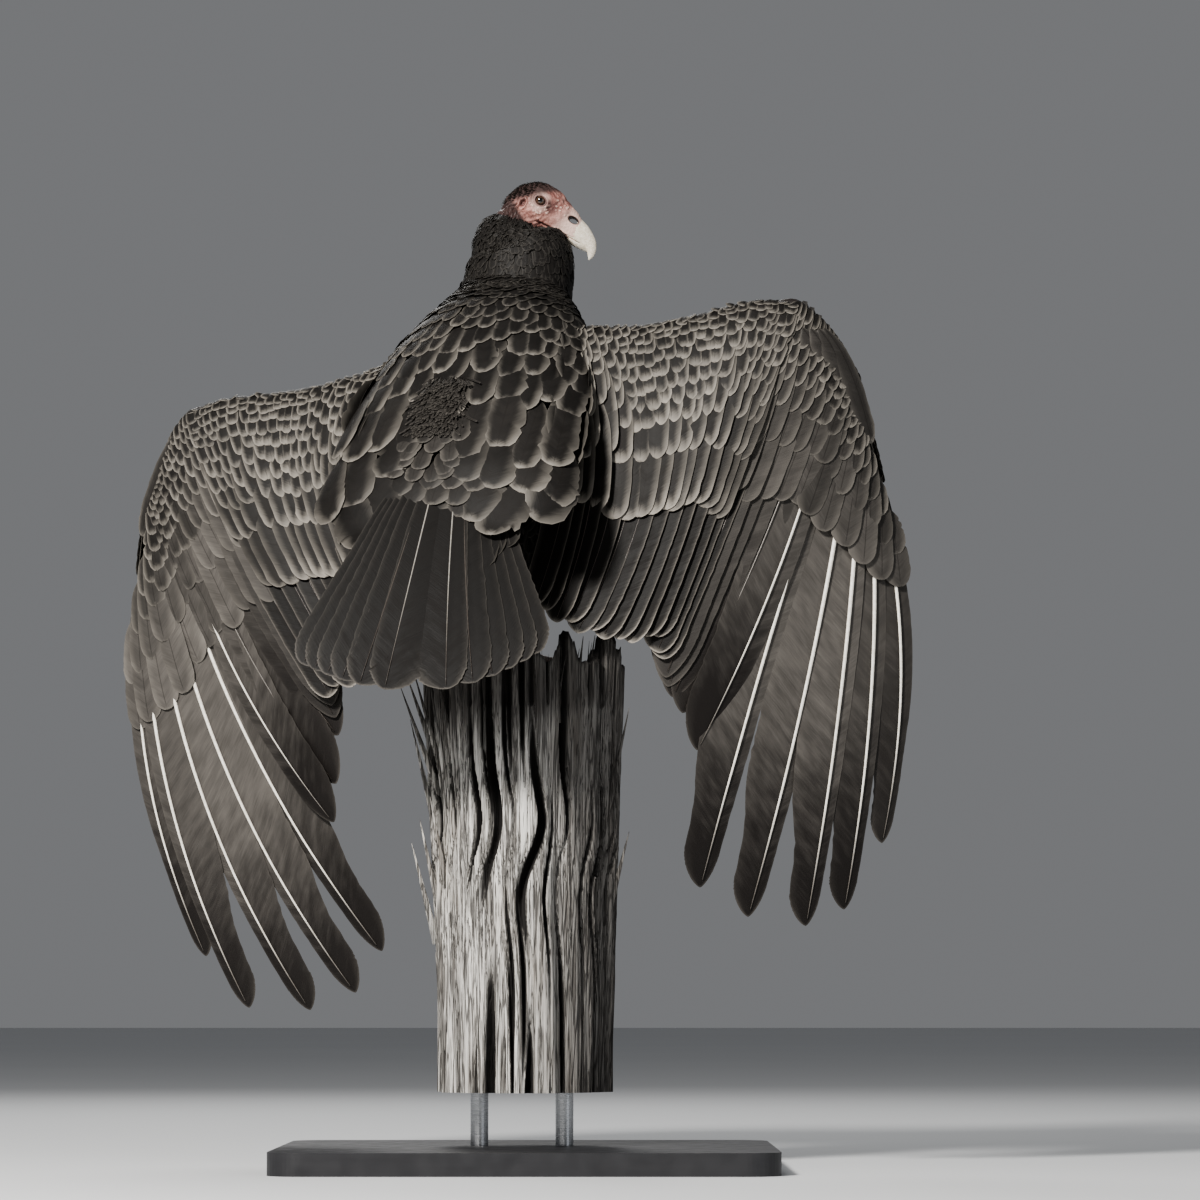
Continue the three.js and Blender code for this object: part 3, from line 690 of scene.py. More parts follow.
# The head and the feet get finer faces for their folds and scales.
bm = bmesh.new()
bm.from_mesh(skin.data)
bmesh.ops.triangulate(bm, faces=[f for f in bm.faces if len(f.verts) > 4])


def in_head(v):
    ahead = Vector(look).dot(v.co / mm - Vector(head_middle))
    return v.co.z / mm > 856 and ahead > -30


for cut in range(2):
    fine = [e for e in bm.edges if in_head(e.verts[0]) and in_head(e.verts[1])]
    bmesh.ops.subdivide_edges(bm, edges=fine, cuts=1, use_grid_fill=True)
low_leg = [e for e in bm.edges if max(v.co.z for v in e.verts) < foot_top * mm
           and abs(e.verts[0].co.x - foot_middle * mm) < 0.08]
bmesh.ops.subdivide_edges(bm, edges=low_leg, cuts=1, use_grid_fill=True)
bmesh.ops.triangulate(bm, faces=[f for f in bm.faces if len(f.verts) > 4])
soften = [v for v in bm.verts if in_head(v) or v.co.z < foot_top * mm]
for turn in range(3):
    bmesh.ops.smooth_vert(bm, verts=soften, factor=0.5, use_axis_x=True, use_axis_y=True, use_axis_z=True)
bm.to_mesh(skin.data)
bm.free()


def vertex_table(mesh, name):
    table = np.empty(len(mesh.vertices) * 3)
    if name == "normal":
        mesh.vertex_normals.foreach_get("vector", table)
    else:
        mesh.vertices.foreach_get(name, table)
    return table.reshape(-1, 3)


def place_vertices(mesh, places):
    mesh.vertices.foreach_set("co", (places * mm).ravel())
    mesh.update()


def mark(mesh, name, values):
    """Keeps a number or a vector for each vertex, for the material to read."""
    values = np.asarray(values, np.float32)
    kind = "FLOAT" if values.ndim == 1 else "FLOAT_VECTOR"
    layer = mesh.attributes.new(name, kind, "POINT")
    layer.data.foreach_set("value" if values.ndim == 1 else "vector", values.ravel())


def head_measure(places):
    away = places - head_middle
    return away @ look, away @ crown_way, away @ cheek_way


def hill(x, y, at_x, at_y, wide, high):
    return np.exp(-((x - at_x) / wide) ** 2 - ((y - at_y) / high) ** 2)


def ramp(value, low, high):
    t = np.clip((value - low) / (high - low), 0.0, 1.0)
    return t * t * (3.0 - 2.0 * t)


def ripple(points, size, seed):
    """Smooth noise from -1 to 1 at each point, with features this many millimetres across."""
    off = Vector((seed, 2.7 * seed, -1.3 * seed))
    return np.array([noise.noise(Vector(p) / size + off) for p in points])


places = vertex_table(skin.data, "co") / mm
ahead, up, side = head_measure(places)
top, low, half = np.moveaxis(profile(head_line, ahead), -1, 0)
polar = np.arctan2((up - (top + low) / 2) / np.maximum((top - low) / 2, 1), side / np.maximum(half, 1))
true_up, true_side = (top + low) / 2 + (top - low) / 2 * np.sin(polar), half * np.cos(polar)
off = np.hypot(up - true_up, side - true_side)
hold = ramp(ahead, -19, -12) * ramp(-ahead, -47, -44) * ramp(-off, -2.6, -1.2)
up, side = up + hold * (true_up - up), side + hold * (true_side - side)
places = on_head(ahead, up, side)
place_vertices(skin.data, places)

# Folds, hollows and warts, as heights in millimetres along the skin's own outward direction.
on_face = ramp(ahead, -32, -26) * ramp(places[:, 2], 848, 856) * ramp(-ahead, -50, -48)
cheek = np.abs(side)
wave = np.zeros(len(places))
picked = np.nonzero(on_face > 0)[0]
wave[picked] = ripple(places[picked], 9.0, 1.0) + 0.5 * ripple(places[picked], 4.0, 5.0)
rough = np.zeros(len(places))
rough[picked] = ripple(places[picked], 1.7, 8.0)
mouth_off = np.abs(up - (-11.7 + 0.078 * (ahead - 12.6)))
mouth = np.exp(-(mouth_off / 0.9) ** 2) * ramp(ahead, 10.5, 13.5)
lips = np.exp(-((mouth_off - 2.1) / 1.1) ** 2) * ramp(ahead, 9.0, 13.0)
round_ear = np.hypot((ahead + 7.5) / 2.2, (up + 4.5) / 3.6)
nape = ramp(-ahead, -3, 12)
height = (
    1.7 * hill(ahead, up, 6, 14.6, 9, 2.6) * ramp(cheek, 9, 13)
    - 1.5 * hill(ahead, up, 5.5, 6, 10.5, 8.5)
    + 1.0 * hill(ahead, up, 0, -9.5, 10, 4.5)
    - 1.6 * hill(ahead, up, 19, 5, 6, 6.5)
    - 0.9 * hill(ahead, up, 20.5, 12.6, 1.6, 3.4)
    + 1.5 * hill(ahead, up, 30, 8.7, 3.2, 2.6)
    - 1.0 * hill(ahead, up, 25.5, 20, 2.4, 8)
    + 1.1 * hill(ahead, up, 38, 14, 7, 4)
    - 1.5 * mouth + 0.7 * lips
    - 3.4 * np.exp(-round_ear ** 4) + 0.9 * np.exp(-((round_ear - 1.45) / 0.3) ** 2)
    + 0.48 * nape * np.sin(ahead * 1.5 + up * 0.35 + 4.2 * wave)
    + 0.30 * (1 - nape) * ramp(up, 13, 17) * np.sin(up * 0.7 + side * 1.0 + ahead * 0.25 + 4.5 * wave)
    + 0.40 * ramp(-up, 2, 9) * ramp(-ahead, -26, -8) * np.sin(ahead * 1.25 - up * 0.8 + 2.4 * wave)
    + 0.20 * rough
)
rng = np.random.default_rng(5)
warts = np.zeros(len(places))
for i in range(64):
    turn, out = rng.uniform(-2.7, 0.5), rng.uniform(7.0, 12.5)
    x, y = eye_at[0] + out * math.cos(turn) * 1.15, eye_at[1] + out * math.sin(turn) * 0.95
    if i > 44:
        x, y = rng.uniform(16, 34), rng.uniform(4, 15)
    face = 1 if i % 2 else -1
    r = rng.uniform(0.65, 1.35)
    bead = np.exp(-(np.hypot(ahead - x, up - y) / r) ** 2.4) * (np.sign(side) == face) * (cheek > 5)
    warts = np.maximum(warts, bead)
height += 0.75 * warts
places += (height * on_face)[:, None] * vertex_table(skin.data, "normal")

# The eyelids: an almond opening, its rim standing on the eyeball, with two folds round it.
ahead, up, side = head_measure(places)
cheek = np.abs(side)
level = math.radians(-8.0)
along_lid = (ahead - eye_at[0]) * math.cos(level) + (up - eye_at[1]) * math.sin(level)
across_lid = (up - eye_at[1]) * math.cos(level) - (ahead - eye_at[0]) * math.sin(level)
opening = np.hypot(along_lid / 5.1, across_lid / np.where(across_lid > 0, 3.9, 4.3))
reach = np.hypot(along_lid, across_lid)
on_ball = eye_at[2] + np.sqrt(np.maximum(7.0 ** 2 - np.minimum(reach, 5.3) ** 2, 0.0))
rim = on_ball + 0.35 * np.exp(-((opening - 1.10) / 0.10) ** 2) - 0.3 * np.exp(-((opening - 1.32) / 0.08) ** 2)
rim += 0.30 * np.exp(-((opening - 1.5) / 0.09) ** 2)
inside = eye_at[2] + np.sqrt(np.maximum(4.6 ** 2 - reach ** 2, 0.0)) - 1.5
lid = np.where(opening < 1.0, inside + (rim - inside) * ramp(opening, 0.90, 1.0), rim)
share = ramp(-opening, -2.05, -1.45) * (cheek > 4) * on_face * ramp(-reach, -11, -9)
side = side + np.sign(side) * share * (lid - cheek)
places = on_head(ahead, up, side)
place_vertices(skin.data, places)
mark(skin.data, "headwise", np.stack([ahead, up, np.abs(side)], 1))
mark(skin.data, "wart", warts * on_face)
# Painted shade: the material darkens the skin by how deep its folds and hollows sink.
mark(skin.data, "crease_shade", np.clip(-height, 0, 2) * on_face)
mark(skin.data, "bare", ramp(places[:, 2] + 0.2 * ahead, 845, 856) * (np.abs(places[:, 0] - 10) < 90))
mark(skin.data, "lid", np.where(np.abs(side) > 4, opening, 9.0))

# The large nostril goes straight through the beak's base: both sides are opened and joined by a short bore.
nostril_at, nostril_half = (40.2, 6.6), (4.8, 3.0)
bm = bmesh.new()
bm.from_mesh(skin.data)
bmesh.ops.triangulate(bm, faces=bm.faces)
bore = []
for f in bm.faces:
    x, y, z = (float(n) for n in head_measure(np.array(f.calc_center_median()) / mm))
    off_x, off_y = (x - nostril_at[0]) / nostril_half[0], (y - nostril_at[1]) / nostril_half[1]
    if math.hypot(off_x, off_y) < 1.0 and 3.0 < abs(z) < 12:
        bore.append(f)
bmesh.ops.delete(bm, geom=bore, context="FACES")
bmesh.ops.bridge_loops(bm, edges=[e for e in bm.edges if e.is_boundary])
bm.normal_update()
bm.to_mesh(skin.data)
bm.free()
skin.data.shade_smooth()


def skin_paint(at):
    headwise = at.mark("headwise", vector=True)
    wart = at.mark("wart")
    crease_shade = at.mark("crease_shade")
    lid = at.mark("lid")
    ahead, up = headwise.part("X"), headwise.part("Y")
    mottle = at.noise(160.0, 4.0, 0.6)
    vein = at.noise(420.0, 3.0, 0.55)
    flush = mottle.step(0.3, 0.7).mix((0.20, 0.085, 0.072), (0.42, 0.235, 0.20))
    scurf = vein.step(0.55, 0.75, 0.0, 0.4).mix(flush, (0.52, 0.36, 0.31))
    off_x, off_y = ahead - 5.5, up - 5.0
    eye_ring = (off_x * off_x + off_y * off_y + mottle * 60.0).step(60.0, 170.0, 0.7, 0.0)
    worn = eye_ring.mix(scurf, (0.56, 0.42, 0.37))
    # The crown and nape are darker and the skin round the eye and at the beak's base paler; under the head
    # the throat is painted dark as shade.
    crown = (up * 0.9 - ahead * 0.85 + mottle * 10.0 + vein * 4.0).step(9.0, 19.0)
    throat_shade = (ahead * 0.7 + up + mottle * 8.0).step(-17.0, -7.0, 1.0, 0.0)
    dark_hood_and_throat_shade = (crown.most(throat_shade) * 0.94).mix(worn, (0.030, 0.019, 0.018))
    beak_base = (ahead - up * 0.25 + mottle * 6.0).step(25.0, 42.0, 0.0, 0.85)
    cere = beak_base.mix(dark_hood_and_throat_shade, (0.62, 0.47, 0.41))
    # Painted shade: the nostril's bore and the skin round its opening are painted near black.
    hole_x, hole_y = (ahead - nostril_at[0]) / nostril_half[0], (up - nostril_at[1]) / nostril_half[1]
    nostril_shade = (hole_x * hole_x + hole_y * hole_y).step(1.15, 1.75, 0.95, 0.0).mix(cere, (0.030, 0.014, 0.012))
    beaded = wart.step(0.25, 0.9, 0.0, 0.75).mix(nostril_shade, (0.55, 0.42, 0.36))
    # Painted shade in the folds, hollows, mouth line and ear opening.
    crease_shaded = crease_shade.step(0.25, 1.5, 0.0, 0.8).mix(beaded, (0.085, 0.035, 0.032))
    lids = (lid.step(0.95, 1.25, 1.0, 0.0) * 0.8).mix(crease_shaded, (0.10, 0.06, 0.06))
    bare = at.mark("bare")
    hide = bare.mix((0.020, 0.016, 0.015), lids)
    height_mm = at.part("Z") * 1000.0
    leg_skin = mottle.step(0.35, 0.65).mix((0.30, 0.22, 0.19), (0.44, 0.36, 0.32))
    stretched = at.along(1.0, 1.0, 1.3)
    plates = at.node("TexVoronoi", {"feature": "DISTANCE_TO_EDGE"}, {"Vector": stretched, "Scale": 330.0})
    scaly = plates.step(0.02, 0.16, 0.35, 1.0).mix((0.09, 0.065, 0.055), leg_skin)
    legs = height_mm.step(540.0, 552.0)
    return {
        "Base Color": legs.mix(scaly, hide),
        "Roughness": mottle.step(0.2, 0.8, 0.44, 0.62) + crown * 0.3,
        "Specular IOR Level": 0.35,
        "Bump": (vein * 0.35 + mottle * 0.3 + plates.least(0.2) * legs.step(0.0, 1.0, 3.0, 0.0), 0.6, 0.0007),
    }


finish_with(skin, material("bare_skin", skin_paint), (
    "head", "neck", "torso", "wing_right_arm", "wing_left_arm", "thigh_right", "thigh_left",
    "shank_right", "shank_left", "foot_right", "foot_left",
))


# ==== Eyes =========================================================================================
# A dark brown eye with a black pupil under a clear, slightly domed cornea, set in the lids.
def eyeball(side):
    bm = bmesh.new()
    bmesh.ops.create_uvsphere(bm, u_segments=48, v_segments=32, radius=1.0)
    out = cheek_way * side
    turn = Vector((0, 0, 1)).rotation_difference(Vector(out)).to_matrix()
    across = bm.verts.layers.float.new("across")
    for v in bm.verts:
        flat = math.hypot(v.co.x, v.co.y)
        v[across] = flat * eye_radius if v.co.z > 0 else 9.0
        dome = 1.0 + 0.05 * math.exp(-(flat / 0.62) ** 4) * (v.co.z > 0)
        centre = on_head(eye_at[0], eye_at[1], side * eye_at[2])
        v.co = Vector(centre * mm) + (turn @ v.co) * (eye_radius * dome * mm)
    put_in_order(bm)
    return formed("eyeball_right" if side < 0 else "eyeball_left", bm)


def eye_paint(at):
    out = at.mark("across")
    fleck = at.noise(900.0, 3.0, 0.6)
    iris = fleck.step(0.3, 0.7).mix((0.030, 0.013, 0.007), (0.085, 0.042, 0.022))
    ring = out.step(3.4, 4.5).mix(iris, (0.012, 0.008, 0.007))
    white = out.step(4.7, 5.3).mix(ring, (0.20, 0.13, 0.12))
    return {
        "Base Color": out.step(2.05, 2.35).mix((0.002, 0.002, 0.002), white),
        "Roughness": fleck.step(0.0, 1.0, 0.06, 0.12),
        "Coat Weight": 1.0,
        "Coat Roughness": 0.02,
    }


eye_look = material("eye", eye_paint)
for side in (-1, 1):
    node = "eye_right" if side < 0 else "eye_left"
    finish_with(eyeball(side), eye_look, (node,))


# ==== Bill =========================================================================================
# Ivory horn: a strongly hooked upper half with a rounded ridge, whose cutting edges close over
# the lower half.
# The axis gives the places ahead and up; the sizes are the share along it, half height and half width.
bill_axis = [(44, 1.6), (52, 0.4), (58.4, -1.4), (64.2, -4.2), (68.3, -8.8), (70.2, -13.4), (70.6, -17.6)]
bill_sizes = [(0, 10.7, 7.9), (0.17, 9.4, 7.0), (0.33, 7.8, 5.8), (0.5, 6.1, 4.5), (0.67, 4.4, 3.2),
              (0.84, 2.8, 2.0), (1, 0.5, 0.4)]


def upper_bill(share, angle):
    line = [(x, 0.0, z) for x, z in bill_axis]
    at, ahead = spline(line, share), heading(line, share)
    high, wide = profile(bill_sizes, share)
    sine, cosine = math.sin(angle), math.cos(angle)
    z = high * (sine if sine > 0 else -min(1.0, 1.9 * abs(sine)) * (0.93 + 0.07 * abs(cosine)))
    y = wide * cosine * (1.0 - 0.22 * max(sine, 0.0))
    return on_head(at[0] - ahead[2] * z, at[2] + ahead[0] * z, y)


def lower_bill(share, angle):
    ahead = 44.0 + 21.0 * share
    top = -9.5 + 0.06 * (ahead - 56.0) + 0.9 * share
    low = -13.6 + 1.6 * share ** 3
    half = 7.0 - 2.2 * share - 2.6 * share ** 4
    sine = math.sin(angle)
    return on_head(ahead, top + (low - top) * max(0.0, -sine) + 0.3 * max(0.0, sine), half * math.cos(angle))


def horn_mesh(name, surface, around, along):
    bm = bmesh.new()
    wrap(bm, surface, around, along)
    bmesh.ops.recalc_face_normals(bm, faces=bm.faces)
    return formed(name, bm)


def horn_paint(at):
    growth = at.noise(240.0, 4.0, 0.6, 1.5)
    chip = at.noise(700.0, 3.0)
    pale = growth.step(0.3, 0.7).mix((0.56, 0.50, 0.40), (0.74, 0.69, 0.60))
    return {
        "Base Color": chip.step(0.60, 0.72, 0.0, 0.5).mix(pale, (0.36, 0.30, 0.22)),
        "Roughness": growth.step(0.2, 0.8, 0.30, 0.48),
        "Bump": (growth + chip * 0.4, 0.4, 0.0004),
    }


ivory = material("ivory_horn", horn_paint)
finish_with(horn_mesh("beak_upper", upper_bill, 48, 60), ivory, ("bill_upper",))
finish_with(horn_mesh("beak_lower", lower_bill, 40, 36), ivory, ("bill_lower",))


# ==== Claws ========================================================================================
# Blackish horn claws, blunt and only gently curved as a vulture's are, one to a toe.
def claw_paint(at):
    streak = at.noise(500.0, 3.0, 0.6)
    return {
        "Base Color": streak.step(0.3, 0.75).mix((0.018, 0.015, 0.013), (0.075, 0.062, 0.052)),
        "Roughness": streak.step(0.2, 0.8, 0.28, 0.45),
        "Bump": (streak, 0.4, 0.0003),
    }


dark_horn = material("dark_horn", claw_paint)
for side, hip in hips.items():
    for number, (degrees, length) in enumerate(toes, 1):
        curve = [toe_point(hip, degrees, length + reach, up)
                 for reach, up in ((-4, 5.8), (3, 7.4), (9, 5.4), (12, 1.5))]
        shape = limb(curve, [(0, 2.9, 0), (0.4, 2.4, 0), (0.8, 1.3, 0), (1, 0.4, 0)])
        claw = horn_mesh("talon_%s_%d" % (side, number), shape, 20, 28)
        finish_with(claw, dark_horn, ("claw_%s_%d" % (side, number),))


# ==== Feathers =====================================================================================
# Every feather is a thin closed vane with its own shaft line, barbs that slant towards the tip, a worn edge
# and a few splits. A group is worked out at once, in arrays, and joined into one mesh.
def between(table, share):
    """Values of a table (feather, step, ...) at shares (feather, ...) of its steps."""
    place = np.clip(share, 0.0, 1.0) * (table.shape[1] - 1)
    low = np.minimum(place.astype(int), table.shape[1] - 2)
    rest = place - low
    pick = np.arange(len(table)).reshape((-1,) + (1,) * (share.ndim - 1))
    if table.ndim == 3:
        rest = rest[..., None]
    return table[pick, low] * (1 - rest) + table[pick, low + 1] * rest


def vanes(spine, face, outer, inner, tone, patch, rng, side=1.0, rows=12, columns=7, barb=0.9,
          thick=0.5, camber=0.10, tilt=0.0, ragged=0.04, splits=0.0, two_sided=False, blunt=1.2,
          point=0.55, worn_tip=0.1):
    """Vanes along shafts: arrays of places, dorsal directions and half widths, all by (feather, step)."""
    n = len(spine)
    u = np.linspace(-1, 1, columns)
    u = (np.sign(u) * np.abs(u) ** 0.9)[None, None, :]
    length = np.linalg.norm(np.diff(spine, axis=1), axis=2).sum(axis=1)[:, None, None]
    # The last rows follow the round of the tip, which is blunt times its half width long.
    round_part = np.clip(blunt * 0.5 * (outer + inner)[:, -1:, None] / length, 0.02, 0.6)
    last = max(4, rows // 3)
    straight = np.linspace(0, 1, rows - last, endpoint=False)[None, :, None] * (1 - round_part)
    curl = 1 - round_part * (1 - np.linspace(0, 1, last)[None, :, None]) ** 1.7
    share = np.broadcast_to(np.concatenate([straight, curl], 1), (n, rows, columns))
    wide = np.where(u > 0, between(outer, share), between(inner, share))
    inwards = np.clip(1 - (1 - share) / round_part, 0, 1)
    wide = np.maximum(wide * (1 - inwards ** 2.1) ** point, 0.12)
    shift = (1 - np.abs(u)) * wide * barb / length
    place = share - shift * np.minimum(1.0, share / 0.2) * (share < 1)
    at, up = between(spine, place), unit(between(face, place))
    step = 0.01
    ahead = unit(between(spine, np.minimum(place + step, 1)) - between(spine, np.maximum(place - step, 0)))
    out = unit(np.cross(up, ahead)) * side
    up = np.cross(ahead, out) * side
    calm = np.concatenate([np.linspace(0.2, 1.2, rows - last), np.linspace(1.2, worn_tip, last)])
    worn = 1 + ragged * rng.normal(size=(n, rows, 2)) * calm[None, :, None]
    count = rng.poisson(splits, n)
    for i in np.nonzero(count)[0]:
        for k in range(count[i]):
            row, edge = rng.integers(rows // 4, rows - last - 1), rng.integers(0, 2)
            worn[i, row, edge] *= 1 - rng.uniform(0.15, 0.75) * (0.5 if edge else 1.0)
    factor = np.where(u > 0, worn[:, :, 1:2], worn[:, :, 0:1])
    factor[:, (0, -1)] = 1.0
    reach = u * wide * factor
    level = camber * wide * (1 - u * u) + tilt * reach
    half = 0.5 * thick * np.sqrt(np.maximum(1 - u * u, 0)) * (1 - 0.55 * share)
    top = at + out * reach[..., None] + up * (level + half)[..., None]
    bottom = (at + out * reach[..., None] + up * (level - half)[..., None])[:, :, 1:-1]
    per = rows * columns
    bottom_per = rows * (columns - 2)
    grid = np.arange(per).reshape(rows, columns)
    below = grid.copy()
    below[:, 1:-1] = per + np.arange(bottom_per).reshape(rows, columns - 2)

    def sheet(g):
        a, b, c, d = g[:-1, :-1], g[1:, :-1], g[1:, 1:], g[:-1, 1:]
        halves = np.stack([a, b, c], -1), np.stack([a, c, d], -1)
        return np.concatenate([half.reshape(-1, 3) for half in halves])

    def cap(row, turn):
        a, b, c, d = grid[row, :-1], grid[row, 1:], below[row, 1:], below[row, :-1]
        two = np.concatenate([np.stack([a, b, c], -1)[:-1], np.stack([a, c, d], -1)[1:]])
        last = np.stack([a, b, d], -1)[-1:]
        tri = np.concatenate([two, last])
        return tri[:, ::-1] if turn else tri

    over, under = sheet(grid), sheet(below)[:, ::-1]
    ends = np.concatenate([cap(0, False), cap(rows - 1, True)])
    faces = np.concatenate([over, ends, under])
    if side < 0:
        faces = faces[:, ::-1]
    is_under = np.concatenate([np.zeros(len(over) + len(ends), bool), np.ones(len(under), bool)])
    total = per + bottom_per
    lie = np.stack([(1 - np.abs(u)) * wide, u * wide, (1 - place) * length], -1)
    points = np.concatenate([top.reshape(n, -1, 3), bottom.reshape(n, -1, 3)], 1)
    lies = np.concatenate([lie.reshape(n, -1, 3), lie[:, :, 1:-1].reshape(n, -1, 3)], 1)
    side_flag = np.concatenate([np.zeros(per), np.ones(bottom_per)])
    uv_x = np.broadcast_to(0.5 + 0.5 * u, (n, rows, columns))
    uv = np.stack([uv_x, place], -1)
    uvs = np.concatenate([uv.reshape(n, -1, 2), uv[:, :, 1:-1].reshape(n, -1, 2)], 1)
    lift = (np.arange(n) * total)[:, None, None]
    all_faces = (faces[None] + lift).reshape(-1, 3)
    corner = uvs.reshape(-1, 2)[all_faces]
    owner = np.repeat(np.arange(n), len(faces))
    under_face = np.tile(is_under, n)
    start, span = patch[owner][:, None, :2], patch[owner][:, None, 2:]
    if two_sided:
        corner = corner * (0.48, 1.0) + np.where(under_face, 0.52, 0.0)[:, None, None] * (1.0, 0.0)
    return dict(
        points=points.reshape(-1, 3), faces=all_faces, uv=start + corner * span,
        lie=lies.reshape(-1, 3), tone=np.repeat(tone, total, axis=0),
        under=np.tile(side_flag, n), lower=under_face,
    )


def coat_piece(name, groups, made, replaces=()):
    mesh = bpy.data.meshes.new(name)
    starts = np.cumsum([0] + [len(g["points"]) for g in groups])
    points = np.concatenate([g["points"] for g in groups]) * mm
    faces = np.concatenate([g["faces"] + s for g, s in zip(groups, starts)])
    mesh.vertices.add(len(points))
    mesh.vertices.foreach_set("co", points.ravel().astype(np.float32))
    mesh.loops.add(faces.size)
    mesh.loops.foreach_set("vertex_index", faces.ravel().astype(np.int32))
    mesh.polygons.add(len(faces))
    mesh.polygons.foreach_set("loop_start", np.arange(0, faces.size, 3, dtype=np.int32))
    layer = mesh.uv_layers.new(name="OFBake")
    layer.data.foreach_set("uv", np.concatenate([g["uv"] for g in groups]).ravel().astype(np.float32))
    for key in ("lie", "tone", "under"):
        mark(mesh, key, np.concatenate([g[key] for g in groups]))
    mesh.update(calc_edges=True)
    mesh.shade_smooth()
    # Where the upper and lower side of a vane meet the edge is sharp, so the vane stays flat to its rim.
    edge_of = np.empty(faces.size, np.int32)
    mesh.loops.foreach_get("edge_index", edge_of)
    lower = np.repeat(np.concatenate([g["lower"] for g in groups]), 3)
    seen_low, seen_top = np.zeros(len(mesh.edges), bool), np.zeros(len(mesh.edges), bool)
    seen_low[edge_of[lower]] = True
    seen_top[edge_of[~lower]] = True
    sharp = mesh.attributes.new("sharp_edge", "BOOLEAN", "EDGE")
    sharp.data.foreach_set("value", seen_low & seen_top)
    finish_with(placed(name, mesh), made, replaces)


def feather_paint(stiff):
    """Colour by the place on a feather. tone holds a chance, how pale the rim is and how grey the web."""

    def paint(at):
        lie = at.mark("lie", vector=True)
        tone = at.mark("tone", vector=True)
        under = at.mark("under")
        chance, fringe, grey = tone.part("X"), tone.part("Y"), tone.part("Z")
        edge, across, tip = lie.part("X"), lie.part("Y"), lie.part("Z")
        barb = tip - across.size() * 0.85
        slant = at.node("CombineXYZ", None, {"X": barb * 0.75, "Y": across * 0.05, "Z": chance * 50.0})
        strand = slant.noise(1.0, 4.0, 0.65)
        coarse = at.node("CombineXYZ", None, {"X": barb * 0.10, "Y": across * 0.05, "Z": chance * 31.0})
        clump = coarse.noise(1.0, 2.0)
        web = grey.mix((0.0085, 0.0074, 0.0068), (0.145, 0.134, 0.122))
        dim = (grey * 0.72).mix((0.005, 0.0044, 0.004), (0.105, 0.097, 0.088))
        lit = (strand * 0.7 + clump * 0.7 + chance * 0.3 - 0.5).step(0.1, 0.75)
        vane = lit.mix(dim, web)
        if stiff:
            # The fingers of the wing darken towards their tips.
            dusk = (tip + clump * 80.0 - 40.0).step(25.0, 230.0, 1.0, 0.0) * grey.step(0.3, 0.6)
            vane = (dusk * (1.1 - lit * 0.2)).mix(vane, (0.013, 0.011, 0.010))
        # The web pales softly towards its margin and tip; a stiff feather has a thin worn rim instead.
        margin = edge / (edge + across.size() + 0.01) + strand * 0.44 - 0.22
        soft = margin.step(0.0, 0.36 if stiff else 0.62, 1.0, 0.0) * tip.step(6.0, 40.0, 1.0, 0.4)
        end = (tip + across.size() * 0.3 + strand * 9.0 - 4.5) / (fringe * 17.0 + 0.5)
        end = end.step(0.0, 1.0, 1.0, 0.0)
        strength = (soft * (0.6 if stiff else 0.8)).most(end) * (fringe ** 0.8) * (lit * 0.45 + 0.55)
        paler = (strength * 0.95).mix(vane, (0.40, 0.37, 0.325))
        rim_at = edge.least(tip * 0.6) + strand * 1.4 - 0.7
        rim = rim_at.step(0.2, 1.5, 1.0, 0.0) * (fringe * 1.8).least(1.0) * tip.step(5.0, 40.0, 1.0, 0.35)
        rimmed = (rim * (0.5 if stiff else 0.12)).mix(paler, (0.46, 0.42, 0.37))
        shaft = across.size().step(0.25, 0.7, 0.5, 0.0) * tip.step(2.0, 8.0)
        lined = shaft.mix(rimmed, (0.012, 0.010, 0.009))
        silver = (under * grey.step(0.05, 0.35) * 0.85).mix(lined, (0.19, 0.18, 0.165))
        return {
            "Base Color": silver,
            "Roughness": lit.step(0.0, 1.0, 0.55, 0.72),
            "Specular IOR Level": 0.18,
            "Bump": (strand * 1.0 + clump * 0.5, 0.45, 0.0005),
        }

    return paint


# ---- flight feathers ------------------------------------------------------------------------------
# Ten primaries spread from the hand, twelve secondaries and an innermost one from the arm, twelve feathers
# from the tail: long, stiff vanes. Seen from above each lies over the next one outwards, so the narrow
# outer web and its shaft show.
steps = np.linspace(0, 1, 33)
arm_arch, hand_arch, arm_bow = 8.0, 12.0, 33.0


def widths(rows):
    return np.moveaxis(profile(rows, steps), -1, 0)


def arm_place(wing, a, share, height):
    """Place and upward direction on the arm: a along it, share across it from the leading edge."""
    lead = spline(wing["lead"], a)
    chord = spline(wing["tips"], a) - lead
    along = heading(wing["lead"], a)
    face = unit(-np.cross(along * wing["side"], chord))
    swing = 4 * share * (1 - share)
    bow = arm_bow + (wing["primaries"][0][3] - arm_bow) * ramp(a, 0.35, 1.0)
    return lead + chord * share[..., None] + along * (bow * swing)[..., None] \
        + face * (arm_arch * swing + height)[..., None], face


def primary_ends(wing, number):
    root = spline(wing["hand"], 0.1 + 0.9 * np.asarray(number, float) / 9) - 10.0 * wing["side"] * rightward
    return root, spline(np.array(wing["primaries"], float)[:, :3], np.asarray(number, float) / 9)


